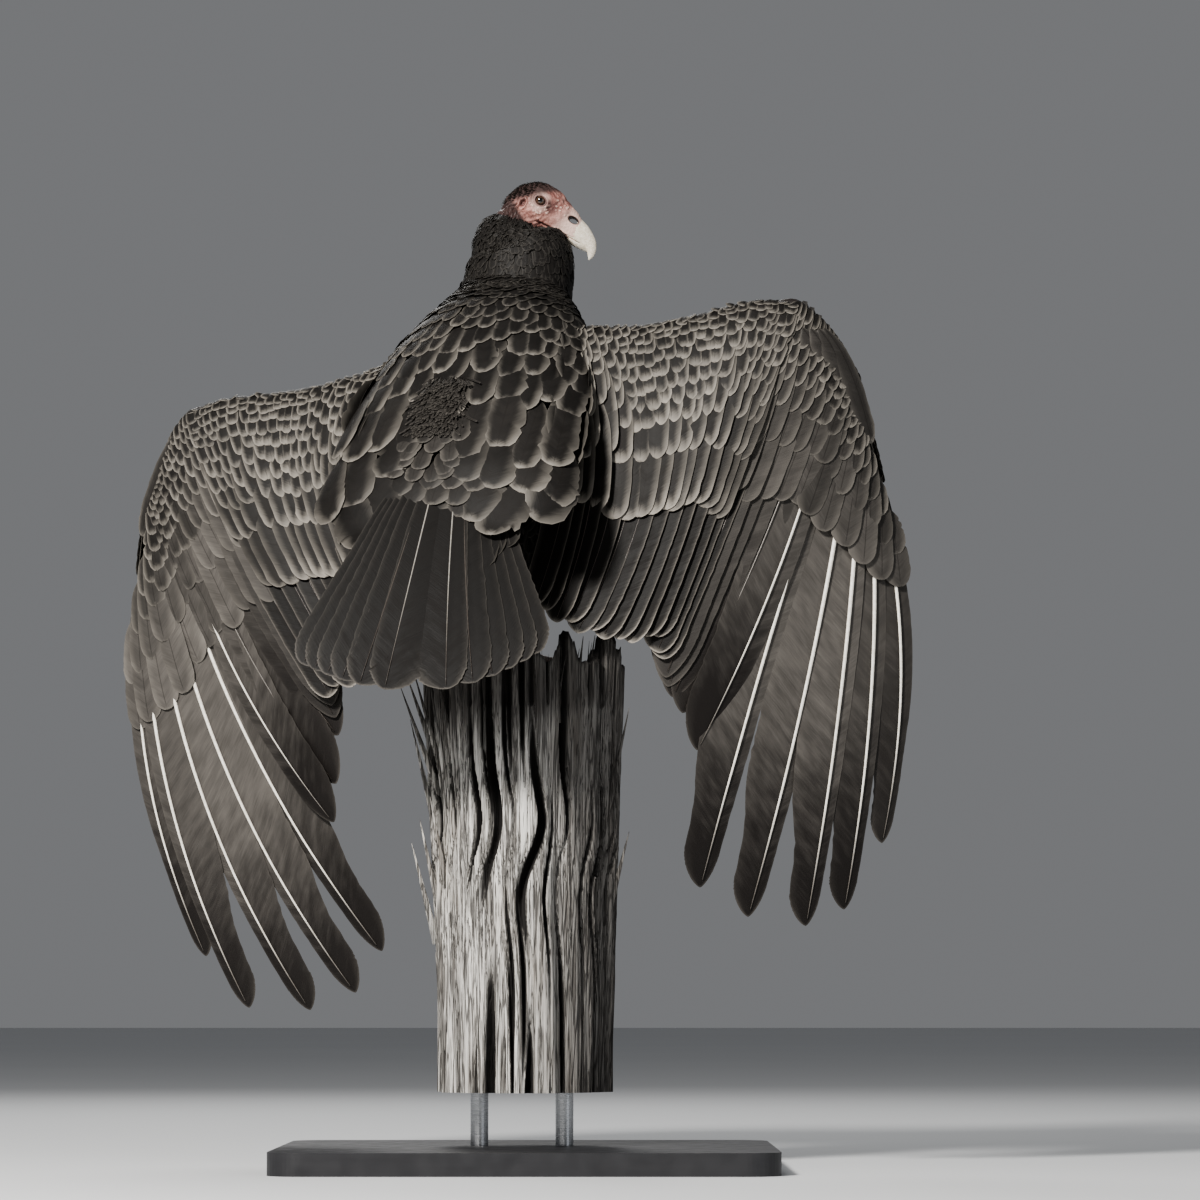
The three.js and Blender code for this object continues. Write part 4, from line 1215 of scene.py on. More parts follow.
def primary_line(wing, number, share, height):
    """Place, upward and outward direction along primary 0 to 9, from its root to its tip."""
    number = np.asarray(number, float)
    root, tip = primary_ends(wing, number)
    bow = np.interp(number, range(10), np.array(wing["primaries"], float)[:, 3])
    chord = tip - root
    # The vanes lie in the fan that the hand spreads: its slope is taken half way down them.
    near, far = (sum(primary_ends(wing, np.clip(number + k, 0, 9))) / 2 for k in (-1.3, 1.3))
    fan_face = unit(-np.cross((far - near) * wing["side"], chord))
    wrist_face = arm_place(wing, np.array([0.97]), np.array([0.4]), np.zeros(1))[1]
    eased = ramp(number, -0.5, 4.0)[:, None]
    face = unit(wrist_face * (1 - eased) + fan_face * eased)
    out = unit(np.cross(face, chord)) * wing["side"]
    swing = 4 * share * (1 - share)
    at = root[:, None] + chord[:, None] * share[..., None] + out[:, None] * (bow[:, None] * swing)[..., None]
    return at + face[:, None] * (hand_arch * swing + height)[..., None], \
        np.broadcast_to(face[:, None], at.shape), np.broadcast_to(out[:, None], at.shape)


def strips(first, count, columns=40):
    """Patches for long feathers: each has a strip of its own, as their markings run along them."""
    index = first + np.arange(count)
    return np.stack([(index % columns) / columns, (index // columns) * 0.33,
                     np.full(count, 0.9 / columns), np.full(count, 0.32)], 1)


def quills(spine, face, radius, inner, camber, tone, side, sides=8):
    """The rounded shafts that stand a little proud of the vanes and taper to their tips."""
    n, count = spine.shape[:2]
    share = np.linspace(0, 0.985, count)[None, :]
    at, up = between(spine, np.broadcast_to(share, (n, count))), unit(face)
    ahead = unit(np.gradient(at, axis=1))
    out = unit(np.cross(up, ahead))
    r = radius[:, None] * (1 - share) ** 0.6 + 0.14
    turn = np.linspace(0, 2 * math.pi, sides, endpoint=False)
    ring = out[:, :, None] * (np.cos(turn)[:, None] * r[..., None, None]) \
        + up[:, :, None] * (np.sin(turn)[:, None] * r[..., None, None] * 0.85)
    points = at[:, :, None] + ring + up[:, :, None] * (camber * inner)[:, :, None, None]
    grid = np.arange(count * sides).reshape(count, sides)
    a, b = grid[:-1], grid[1:]
    c, d = np.roll(b, -1, 1), np.roll(a, -1, 1)
    faces = np.concatenate([np.stack([a, c, b], -1).reshape(-1, 3), np.stack([a, d, c], -1).reshape(-1, 3)])
    fan = np.array([(0, k, k + 1) for k in range(1, sides - 1)])
    faces = np.concatenate([faces, grid[0][fan[:, ::-1]], grid[-1][fan]])
    total = count * sides
    all_faces = (faces[None] + (np.arange(n) * total)[:, None, None]).reshape(-1, 3)
    uv = np.stack(np.broadcast_arrays(turn[None, None] / 7.0, share[:, :, None] + np.zeros((n, 1, 1))), -1)
    patch = strips(0, n)
    uv = patch[:, None, None, :2] + uv * patch[:, None, None, 2:]
    run = np.linalg.norm(np.diff(spine, axis=1), axis=2).sum(axis=1)[:, None, None]
    lie = np.zeros((n, count, sides, 3))
    lie[..., 2] = (1 - share[:, :, None]) * run
    return dict(points=points.reshape(-1, 3), faces=all_faces, uv=uv.reshape(-1, 2)[all_faces],
                lie=lie.reshape(-1, 3), tone=np.repeat(tone, total, axis=0), under=np.zeros(n * total),
                lower=np.zeros(len(all_faces), bool))


def chances(rng, n, fringe, grey):
    """Each feather's tone: a chance of its own, how pale its rim and how grey its web, varied a little."""
    spread = rng.uniform(0.8, 1.2, (n, 2))
    rim, web = np.clip(fringe * spread[:, 0], 0, 1), np.clip(grey * spread[:, 1], 0, 1)
    return np.stack([rng.random(n), rim, web], 1)


finger_half = [17, 16, 15, 14, 11.5]
stiff_vane = dict(tilt=0.035, ragged=0.012, two_sided=True)
flight, shafts = [], []
for wing_name, wing in wings.items():
    rng = np.random.default_rng(21 if wing_name == "right" else 22)
    side = wing["side"]
    outer, inner = np.empty((10, len(steps))), np.empty((10, len(steps)))
    for i in range(10):
        if i < 5:
            rows = [(0, 1.6, 1.6), (0.12, 6, 9), (0.35, 13, 31), (0.8, 14, 31), (1, 14, 28)]
            outer[i], inner[i] = widths(rows)
        else:
            f = finger_half[i - 5]
            rows = [(0, 1.6, 1.6), (0.10, 5, 8), (0.26, 11, 31), (0.62, 11, 35), (0.75, 0.66 * f, 2.1 * f),
                    (0.85, 0.60 * f, 1.5 * f), (0.94, 0.56 * f, 1.35 * f), (1, 0.5 * f, 1.2 * f)]
            outer[i], inner[i] = widths(rows)
    share = np.broadcast_to(steps, (10, len(steps)))
    spine, face, out = primary_line(wing, np.arange(10), share, 0.0)
    tone = chances(rng, 10, 0.06, np.array([0.40, 0.46, 0.52, 0.60, 0.72, 0.80, 0.80, 0.78, 0.70, 0.52]))
    flight.append(vanes(spine, face, outer, inner, tone, strips(0, 10), rng, side, rows=104, columns=15,
                        barb=1.1, thick=0.7, camber=0.05, blunt=2.3, point=0.66, **stiff_vane))
    radius = np.array([0.9, 0.9, 0.95, 1.0, 1.5, 2.15, 2.2, 2.2, 2.1, 1.8])
    pale = np.array([0.03, 0.03, 0.04, 0.10, 0.8, 1, 1, 1, 1, 1.0])
    shaft_tone = np.stack([rng.random(10), pale, np.zeros(10)], 1)
    shafts.append(quills(spine, face, radius, inner, 0.07, shaft_tone, side))

    a = np.concatenate([[0.0], 0.08 + 0.92 * np.arange(12) / 11])
    n = len(a)
    rows = [(0, 1.5, 1.5), (0.15, 8, 12), (0.4, 11, 21), (0.85, 12, 21), (1, 12, 21)]
    outer, inner = (np.broadcast_to(w, (n, len(steps))) for w in widths(rows))
    share = np.broadcast_to(steps, (n, len(steps)))
    down = 0.08 + (0.92 + rng.normal(0, 0.008, n)[:, None]) * share
    spine, face = arm_place(wing, np.broadcast_to(a[:, None], share.shape), down, 0 * share)
    tone = chances(rng, n, 0.40, np.full(n, 0.04))
    flight.append(vanes(spine, face, outer, inner, tone, strips(40, n), rng, side, rows=66, columns=13,
                        barb=1.0, thick=0.5, camber=0.04, splits=0.1, blunt=1.3, **stiff_vane))
    shaft_tone = np.stack([rng.random(n), np.full(n, 0.02), np.zeros(n)], 1)
    shafts.append(quills(spine, face, np.full(n, 0.5), inner, 0.045, shaft_tone, side))

tail_root, tail_tip = np.array((-70.0, -78.0, 622.0)), np.array((-85.0, -190.0, 413.0))
tail_across = unit(np.array((0.97, -0.12, -0.02)))
tail_along = tail_tip - tail_root
tail_face = unit(-np.cross(tail_across, tail_along))
rng = np.random.default_rng(23)
order = np.arange(12) - 5.5
fan = np.sign(order) * (np.abs(order) / 5.5) ** 0.56
short = fan ** 2 * np.where(fan < 0, 30, 44)
tips = tail_tip + tail_across * (fan * 102 - 9)[:, None] - unit(tail_along) * short[:, None] \
    - tail_face * (1.1 * np.abs(order))[:, None]
roots = tail_root + tail_across * (fan * 32)[:, None] - tail_face * (1.1 * np.abs(order))[:, None]
share = np.broadcast_to(steps, (12, len(steps)))
swing = 4 * share * (1 - share)
spine = roots[:, None] + (tips - roots)[:, None] * share[..., None] \
    + tail_across * (-5 * fan[:, None] * swing)[..., None] + tail_face * (6 * swing)[..., None]
rows = [(0, 1.6, 1.6), (0.15, 10, 15), (0.5, 16, 26), (0.9, 18, 31), (1, 17, 30)]
for half, chosen in ((-1, order < 0), (1, order > 0)):
    n = int(chosen.sum())
    outer, inner = (np.broadcast_to(w, (n, len(steps))) for w in widths(rows))
    facing = np.broadcast_to(tail_face, spine[chosen].shape)
    tone = chances(rng, n, 0.10, np.full(n, 0.018))
    flight.append(vanes(spine[chosen], facing, outer, inner, tone, strips(80 + 6 * (half > 0), n), rng, half,
                        rows=76, columns=13, barb=1.0, thick=0.55, camber=0.04, tilt=0.02, ragged=0.02,
                        two_sided=True, blunt=1.1, worn_tip=2.4))
    shaft_tone = np.stack([rng.random(n), np.where(np.abs(order[chosen]) < 1, 0.30, 0.04), np.zeros(n)], 1)
    shafts.append(quills(spine[chosen], facing, np.full(n, 0.65), inner, 0.05, shaft_tone, half))


def quill_paint(at):
    tone = at.mark("tone", vector=True)
    lie = at.mark("lie", vector=True)
    streak = at.noise(300.0, 3.0)
    brown = streak.mix((0.020, 0.014, 0.011), (0.050, 0.036, 0.028))
    ivory = streak.step(0.3, 0.7).mix((0.74, 0.70, 0.62), (0.90, 0.88, 0.82))
    return {
        "Base Color": (tone.part("Y") * lie.part("Z").step(20.0, 120.0, 0.12, 1.0)).mix(brown, ivory),
        "Roughness": streak.step(0.2, 0.8, 0.28, 0.42),
        "Bump": (streak, 0.2, 0.0003),
    }


plumage = material("plumage", feather_paint(False))
flight_look = material("flight_feathers", feather_paint(True))
wing_nodes = {name: ("wing_%s_arm" % name, "wing_%s_hand" % name) for name in wings}
coat_piece("flight_feathers_right", flight[0:2], flight_look, wing_nodes["right"])
coat_piece("flight_feathers_left", flight[2:4], flight_look, wing_nodes["left"])
coat_piece("tail_feathers", flight[4:6], flight_look, ("tail",))
coat_piece("feather_shafts", shafts, material("feather_shafts", quill_paint))


# ---- wing coverts ---------------------------------------------------------------------------------
# Rows of shorter feathers, like tiles, from the long greater coverts over the bases of the flight feathers
# up to the small scales at the leading edge; then the alula's four stiff feathers on the hand.
def rise(share, a=0.0):
    """How high the fleshy part of the arm stands over its quills, down to the hand's height at the wrist."""
    q = np.clip(share / 0.6, 0.0, 1.0)
    return (13.0 - 3.5 * ramp(a, 0.7, 1.0)) * np.sin(math.pi * np.sqrt(q)) ** 0.8 + 2.4


def hand_rise(share, number):
    q = np.clip((share + 0.03) / 0.40, 0.0, 1.0)
    return (9.5 - 4.5 * ramp(number, 3, 9)) * np.sin(math.pi * np.sqrt(q)) ** 0.8 + 2.4


short_steps = np.linspace(0, 1, 13)


def leaf(n, half, asymmetry=0.0):
    """Half widths of a short rounded feather: the web opens from the quill and rounds off at the tip."""
    shape = profile([(0, 0.18), (0.2, 0.75), (0.5, 1.0), (1, 1.0)], short_steps)[:, 0]
    half = np.broadcast_to(np.asarray(half, float), (n,))[:, None]
    return half * shape * (1 - asymmetry), half * shape * (1 + asymmetry)


def covert_patches(first, n):
    """Coverts are patterned, so each has a patch wide enough to hold its dark middle and pale rim."""
    index = first + np.arange(n)
    return np.stack([(index % 32) / 32, (index // 32) / 32, np.full(n, 0.028), np.full(n, 0.028)], 1)


# Share of the wing's depth where a row's roots and tips lie, feathers in it, half width, how pale, how grey.
covert_rows = [
    (0.27, 0.655, 15, 13.0, 0.90, 0.10), (0.17, 0.475, 15, 12.6, 1.00, 0.08),
    (0.13, 0.375, 18, 10.8, 0.90, 0.08), (0.10, 0.315, 20, 9.6, 0.80, 0.07),
    (0.075, 0.262, 22, 8.6, 0.72, 0.07), (0.05, 0.212, 24, 7.8, 0.66, 0.06),
    (0.03, 0.166, 26, 7.2, 0.60, 0.06), (0.01, 0.124, 28, 6.6, 0.55, 0.06),
    (0.0, 0.086, 30, 6.1, 0.50, 0.06), (0.0, 0.054, 32, 5.7, 0.46, 0.06), (0.0, 0.028, 34, 5.4, 0.42, 0.06),
]
for wing_name, wing in wings.items():
    rng = np.random.default_rng(31 if wing_name == "right" else 32)
    side, made, used = wing["side"], [], 0
    for row, (root, tip, n, half, fringe, grey) in enumerate(covert_rows):
        a = (np.arange(n) + (0.5 if row % 2 else 0.15)) / (n - 0.4) - 0.02
        a = a + rng.normal(0, 0.004, n)
        slope = 0.05 if row == 0 else 0.02
        stretch = np.interp(a, (0, 1), wing["covert_reach"])
        end = (tip - slope * (a - 0.35)) * stretch + rng.normal(0, 0.006, n)
        share = root + (end - root)[:, None] * short_steps
        lift = -1.4 + 2.7 * short_steps + 0.25 * row
        drift = rng.normal(0, 0.006, n)[:, None] * short_steps
        swell = rise(np.maximum(share, 0.0), a[:, None])
        spine, face = arm_place(wing, a[:, None] + drift, share, swell + lift)
        outer, inner = leaf(n, half, 0.12)
        rows, columns, dimmer = (19, 9, 0.55) if row < 3 else (14, 7, 0.2)
        tone = chances(rng, n, fringe * (1 - dimmer * ramp(a, 0.62, 0.95)), grey)
        made.append(vanes(spine, face, outer, inner, tone, covert_patches(used, n), rng, side, rows=rows,
                          columns=columns, barb=0.55, thick=0.35, camber=0.10, tilt=0.06, ragged=0.015,
                          splits=0.25, blunt=1.1))
        used += n
    # Over the hand: broad primary coverts, shorter rows over them, and scales towards the wrist.
    for reach, n, outermost, half, fringe, grey, rows in (
            (1.0, 11, 9.0, 13.5, 0.16, 0.52, 26), (0.70, 12, 9.0, 12.5, 0.22, 0.42, 18),
            (0.50, 13, 8.0, 11.0, 0.38, 0.26, 14), (0.37, 13, 7.2, 9.6, 0.50, 0.13, 12),
            (0.27, 13, 6.4, 8.4, 0.54, 0.08, 12), (0.18, 13, 5.8, 7.4, 0.52, 0.07, 12),
            (0.11, 14, 5.4, 6.6, 0.48, 0.06, 12), (0.05, 14, 5.0, 6.0, 0.44, 0.06, 12)):
        number = np.clip(np.linspace(0, outermost, n) + rng.normal(0, 0.03, n), 0, 9)
        longest = np.interp(number, (0, 2, 4, 5, 7, 9), wing["primary_coverts"])
        end = (longest * reach * (1 + rng.normal(0, 0.015, n)))[:, None]
        start = np.maximum(end - 0.62 * longest[:, None] * max(reach, 0.3), -0.03)
        share = start + (end - start) * short_steps
        bridge = 1.0 - ramp(number, 0.0, 1.6)
        lift = hand_rise(share, number[:, None]) - 1.4 + 2.2 * short_steps + 1.0 - reach
        spine, face, out = primary_line(wing, number, share, lift + 1.8 * bridge[:, None])
        spine = spine + out * (3.0 - 6.5 * bridge)[:, None, None]
        outer, inner = leaf(n, half, 0.15)
        tone = chances(rng, n, fringe, grey * (1.0 if side > 0 else 1.5))
        made.append(vanes(spine, face, outer, inner, tone, covert_patches(used, n), rng, side, rows=rows,
                          columns=9 if rows > 12 else 7, barb=0.6, thick=0.4, camber=0.08, tilt=0.045,
                          ragged=0.012, splits=0.2, blunt=1.2))
        used += n
    # Small scales lie along the hand's own leading edge and wrap round it.
    for line, (turn, inset) in enumerate(((75, -9), (52, -5), (25, -2.5), (0, -2), (-28, -2.5), (-55, -5))):
        n = 26 if turn < 50 else 13
        at = (np.arange(n) + 0.5 * (line % 2)) / 26 * 0.97
        path = at[:, None] + 0.085 * short_steps - 0.03
        edge = spline(wing["hand"], path)
        along = heading(wing["hand"], path)
        face = unit(np.cross(-upward, rightward))
        face = unit(face - (face * along).sum(-1, keepdims=True) * along)
        out = unit(np.cross(face, along)) * side
        turned = math.radians(turn)
        normal = out * math.cos(turned) + face * math.sin(turned)
        body = (8.5 - 4.0 * path)[..., None]
        inwards = 0.10 * (9 + inset) * short_steps[:, None]
        spine = edge - out * 7.0 + out * (body - 1.5) * math.cos(turned) + face * (body * math.sin(turned)) \
            + normal * (-1.2 + 1.6 * short_steps)[None, :, None] - out * inwards
        outer, inner = leaf(n, 5.8)
        tone = chances(rng, n, 0.34, 0.13)
        made.append(vanes(spine, normal, outer, inner, tone, covert_patches(used, n), rng, side, rows=10,
                          columns=7, barb=0.5, thick=0.3, camber=0.14, blunt=1.1))
        used += n
    # The alula's four stiff feathers lie along the leading edge of the hand.
    n = 4
    start, length = np.array([0.30, 0.29, 0.28, 0.27]), np.array([0.24, 0.36, 0.48, 0.60])
    path = start[:, None] + length[:, None] * short_steps
    edge = spline(wing["hand"], path)
    line, face, out = primary_line(wing, np.array([7.4, 7.9, 8.4, 8.9]), 0 * path, 0 * path)
    inset = np.array([31.0, 23.0, 15.0, 8.5])[:, None, None]
    over = 7.5 - 3.0 * short_steps + np.array([0.6, 1.2, 1.8, 2.4])[:, None]
    outer, inner = leaf(n, np.array([9.0, 9.5, 10.0, 9.5]), 0.3)
    spine = edge - out * inset + face * over[..., None]
    made.append(vanes(spine, face, outer, inner, chances(rng, n, 0.32, 0.30), covert_patches(used, n), rng,
                      side, rows=26, columns=9, barb=0.9, thick=0.5, camber=0.08, tilt=0.06, splits=0.3,
                      blunt=1.6))
    coat_piece("wing_coverts_" + wing_name, made, plumage, wing_nodes[wing_name])

    # The underside: dark, soft linings, with a row of grey under coverts behind them.
    made, used = [], 0
    for row, (root, tip, n, half) in enumerate((
            (0.22, 0.56, 16, 12), (0.12, 0.42, 18, 11), (0.07, 0.31, 20, 10), (0.03, 0.22, 22, 9),
            (0.0, 0.14, 24, 8), (-0.01, 0.07, 26, 7.5), (-0.01, 0.03, 28, 7))):
        a = (np.arange(n) + (0.5 if row % 2 else 0.1)) / (n - 0.4) * 1.03 - 0.02
        share = root + (tip + rng.normal(0, 0.008, n) - root)[:, None] * short_steps
        deep = -0.6 * rise(np.maximum(share, 0.0)) - (0.2 + 2.0 * short_steps)
        spine, face = arm_place(wing, np.broadcast_to(a[:, None], share.shape), share, deep)
        outer, inner = leaf(n, half)
        tone = chances(rng, n, 0.08, 0.20 if row == 0 else 0.05)
        made.append(vanes(spine, -face, outer, inner, tone, covert_patches(used, n), rng, -side, rows=9,
                          columns=7, barb=0.5, thick=0.35, camber=0.12, tilt=-0.10))
        used += n
    for reach, half, deep in ((0.95, 12, 2.5), (0.6, 10, 4.0), (0.32, 9, 5.5), (0.14, 8, 6.5)):
        n = 13
        number = np.linspace(0, 9, n)
        share = (-0.04 + (0.33 * reach + 0.04) * short_steps)[None, :] + np.zeros((n, 1))
        hang = -deep * np.sin(math.pi * (0.1 + 0.85 * short_steps)) - 2
        spine, face, out = primary_line(wing, number, share, hang)
        outer, inner = leaf(n, half)
        tone = chances(rng, n, 0.08, 0.08)
        made.append(vanes(spine, -face, outer, inner, tone, covert_patches(used, n), rng, -side, rows=11,
                          columns=7, barb=0.6, thick=0.35, camber=0.12, tilt=-0.10))
        used += n
    # Small scales wrap round the front of the arm, backwards over the top and backwards underneath.
    bone = arm_bone(wing)
    for line, (turn, way) in enumerate(((66, 1), (38, 1), (10, 1), (-84, -1), (-56, -1), (-28, -1), (0, -1))):
        n = 42
        a = (np.arange(n) + 0.5 * (line % 2)) / n
        along = heading(bone, a)
        back = spline(wing["tips"], a) - spline(wing["lead"], a)
        fore = -unit(back - (back * along).sum(-1, keepdims=True) * along)
        face = unit(np.cross(along, fore))
        face = face * np.sign((face * arm_place(wing, a, 0.05 + 0 * a, 0 * a)[1]).sum(-1, keepdims=True))
        girth = profile(arm_girth, a)[:, :1]
        turned = (math.radians(turn) + way * 12.5 / girth * short_steps)[..., None]
        normal = fore[:, None] * np.cos(turned) + face[:, None] * np.sin(turned)
        spine = spline(bone, a)[:, None] + normal * (girth + 0.3 + 1.8 * short_steps)[..., None]
        outer, inner = leaf(n, 5.4)
        tone = chances(rng, n, 0.30 if way > 0 else 0.10, 0.05)
        made.append(vanes(spine, normal, outer, inner, tone, covert_patches(used, n), rng, rows=9, columns=5,
                          barb=0.5, thick=0.3, camber=0.12))
        used += n
    coat_piece("wing_linings_" + wing_name, made, plumage, wing_nodes[wing_name])


# ---- body feathers --------------------------------------------------------------------------------
# Small overlapping feathers in rows round the body, growing from the neck back to the tail: pale-rimmed
# scales on the mantle, long scapulars that cover where the wings join, matted down on the rump, plain dark
# underparts.
spine_length = 308.0


def body_place(share, angle, height):
    """Place and outward direction on the body; it runs on over the tail below 0 and up the neck above 1."""

    def bare(t, a):
        middle, across, up, x, z = torso_section(np.clip(t, 0, 1), a)
        way = unit(np.diff(np.array(spine_line[:2], float), axis=0)[0])
        past = np.minimum(t, 0.0)[..., None] * way + np.maximum(t - 1.0, 0.0)[..., None] * upward
        return middle + across * x[..., None] + up * z[..., None] + past * spine_length

    share, angle = np.broadcast_arrays(np.asarray(share, float), np.asarray(angle, float))
    inner = np.clip(share, 0.02, 0.98)
    round_way = bare(inner, angle + 0.02) - bare(inner, angle - 0.02)
    out = unit(np.cross(bare(inner + 0.02, angle) - bare(inner - 0.02, angle), round_way))
    return bare(share, angle) + out * np.asarray(height)[..., None], out


neck_length = 95.0


def neck_place(share, angle, height):
    """Place and outward direction on the neck; below 0 its surface passes into the body's."""
    share, angle = np.broadcast_arrays(np.asarray(share, float), np.asarray(angle, float))
    middle, along, across, up = trunk_frame(neck_line, np.clip(share, 0, 1))
    wide, deep = np.moveaxis(profile(neck_rows, np.clip(share, 0, 1)), -1, 0)
    deep = deep - 6.0 * ramp(-share, -0.45, 0.0) * np.maximum(np.sin(angle), 0.0)
    out = unit(across * (np.cos(angle) * deep)[..., None] + up * (np.sin(angle) * wide)[..., None])
    at = middle + across * (wide * np.cos(angle))[..., None] + up * (deep * np.sin(angle))[..., None]
    below = np.minimum(share, 0.0) * neck_length
    at = at + below[..., None] * along
    on_body, body_out = body_place(1.0 + below / spine_length, angle, 0 * share)
    passed = ramp(share, -0.26, 0.06)[..., None]
    out = unit(out * passed + body_out * (1 - passed))
    return at * passed + on_body * (1 - passed) + out * np.asarray(height)[..., None], out


def row_angles(place, share, first, last, spacing, offset):
    """Angles that stand one spacing apart round the body, between two angles, in radians."""
    dense = np.linspace(math.radians(first), math.radians(last), 160)
    at = place(np.full(160, share), dense, np.zeros(160))[0]
    run = np.concatenate([[0], np.cumsum(np.linalg.norm(np.diff(at, axis=0), axis=1))])
    return np.interp(np.arange(offset * spacing, run[-1], spacing), run, dense)


def tuft_patches(share, angle, spread=0.003):
    """A small patch at the root's place on the skin laid out flat: round the body by along it."""
    u = (np.degrees(angle) % 360.0) / 360.0 * 0.98 + 0.005
    v = (np.clip(share, -0.3, 1.2) + 0.3) / 1.5 * 0.98 + 0.005
    return np.stack([u, v, np.full_like(u, spread), np.full_like(u, spread)], 1)


def body_rows(place, rng, first, last, shares, length, half, size, fringe, grey, reach_mm=spine_length,
              lift=2.4, sink=-1.6, wild=0.05, height=0.0, rows=8, columns=5, split=0.2, ragged=0.045):
    """Rows of feathers on a surface between two angles; a value may change with the row's share."""
    made = []
    for index, share in enumerate(shares):
        long, wide, rim, web = (at(share) if callable(at) else at for at in (length, half, fringe, grey))
        angles = row_angles(place, share, first, last, wide * size, 0.5 * (index % 2) + 0.1)
        n = len(angles)
        if n == 0:
            continue
        angles = angles + rng.normal(0, 0.012, n)
        root = share + rng.normal(0, 0.1, n) * long / reach_mm
        long = long * rng.uniform(0.9, 1.1, n)
        path = root[:, None] - long[:, None] / reach_mm * short_steps
        swerve = angles[:, None] + rng.normal(0, wild, n)[:, None] * short_steps
        raised = height + sink + (lift - sink) * short_steps ** 0.8 \
            + rng.uniform(0, 0.8, n)[:, None] * short_steps
        spine, face = place(path, swerve, raised)
        outer, inner = leaf(n, wide * rng.uniform(0.92, 1.08, n))
        tone = chances(rng, n, rim, web)
        made.append(vanes(spine, face, outer, inner, tone, tuft_patches(root, angles), rng, rows=rows,
                          columns=columns, barb=0.45, thick=0.22, camber=0.14, tilt=0.05, ragged=ragged,
                          splits=split, blunt=1.15))
    return made


def shoulder_place(wing, edge, outermost):
    """A surface from the back, at the angle edge, out over the root of a wing to its part outermost."""

    def bare(share, v):
        t = 0.13 + 0.82 * share
        down = (1.0 - share) * 0.56
        turn = math.radians(edge)
        start = body_place(t, turn, 0 * t)[0]
        leave = body_place(t, turn - 0.1 * wing["side"], 0 * t)[0] - start
        end = arm_place(wing, np.full_like(t, outermost), down, rise(down) + 1.0)[0]
        arrive = end - arm_place(wing, np.full_like(t, outermost - 0.06), down, rise(down) + 1.0)[0]
        far = np.linalg.norm(end - start, axis=-1, keepdims=True) * 0.9
        leave, arrive = unit(leave) * far, unit(arrive) * far
        v = v[..., None]
        return start + leave * v + (3 * (end - start) - 2 * leave - arrive) * v ** 2 \
            + (2 * (start - end) + leave + arrive) * v ** 3

    def place(share, v, height):
        share, v = np.broadcast_arrays(np.asarray(share, float), np.asarray(v, float))
        outward = bare(share, v + 0.03) - bare(share, v - 0.03)
        out = unit(np.cross(bare(share + 0.02, v) - bare(share - 0.02, v), outward)) * -wing["side"]
        return bare(share, v) + out * np.asarray(height)[..., None], out

    return place


# Share of the spine, length and half width of the feathers there.
back_sizes = [(0.2, 84, 24.0), (0.31, 78, 22.0), (0.42, 64, 18.5), (0.6, 40, 12.0), (0.8, 26, 8.0),
              (1.03, 17, 4.8)]


def back_length(share):
    return profile(back_sizes, share)[0]


def back_half(share):
    return profile(back_sizes, share)[1]


def back_fringe(share):
    return 0.05 + 0.36 * float(ramp(-share, -0.90, -0.62))


def back_grey(share):
    return 0.03 + 0.03 * float(ramp(-share, -0.92, -0.60))


rng = np.random.default_rng(41)
upper = [1.03, 1.01, 0.99, 0.968, 0.945, 0.92, 0.89, 0.858, 0.824, 0.788, 0.748, 0.703, 0.652, 0.594]
mantle = body_rows(body_place, rng, -14, 194, upper, back_length, back_half, 1.32, back_fringe, back_grey,
                   lift=2.2, rows=12, columns=7, split=0.3)
# Where the back meets the wings, feathers of the same kind run on over both shoulders.
shoulders = []
for wing, edge, outermost in ((wings["right"], 40, 0.13), (wings["left"], 134, 0.30)):
    shoulder = shoulder_place(wing, edge, outermost)
    shoulders += body_rows(shoulder, rng, 10, 60, np.arange(1.03, 0.62, -0.045), lambda t: 22 + 22 * (1 - t),
                           lambda t: 6.5 + 7.0 * (1 - t), 1.35, 0.42, 0.08, reach_mm=300.0, lift=2.6,
                           sink=-1.0, wild=0.02, rows=12, columns=7)
    shoulders += body_rows(shoulder, rng, 10, 62, [0.60, 0.50, 0.40, 0.30], lambda t: 50 + 40 * (0.6 - t),
                           lambda t: 12.0 + 6.0 * (0.6 - t), 1.35, 0.40, 0.08, reach_mm=300.0, lift=3.0,
                           sink=-1.0, wild=0.02, rows=18, columns=9, split=0.6)
coat_piece("mantle_feathers", mantle + shoulders, plumage, ("torso",))
# The scapulars, large and broadly rounded, hang in rows on both sides of the rump.
scapulars = body_rows(body_place, rng, -8, 188, [0.54], back_length, back_half, 1.40, 0.58, 0.06,
                      wild=0.03, rows=18, columns=9)
for first, last, lowest in ((4, 84, 78.0), (106, 178, 92.0)):
    scapulars += body_rows(body_place, rng, first, last, [0.46, 0.37], back_length, back_half, 1.42, 0.60,
                           0.08, lift=3.2, sink=-1.2, height=0.3, wild=0.03, rows=20, columns=11)
    scapulars += body_rows(body_place, rng, first + 10, last - 12, [0.27], lowest, back_half, 1.45, 0.50,
                           0.06, lift=2.6, sink=-1.0, wild=0.03, rows=24, columns=11, split=0.3)
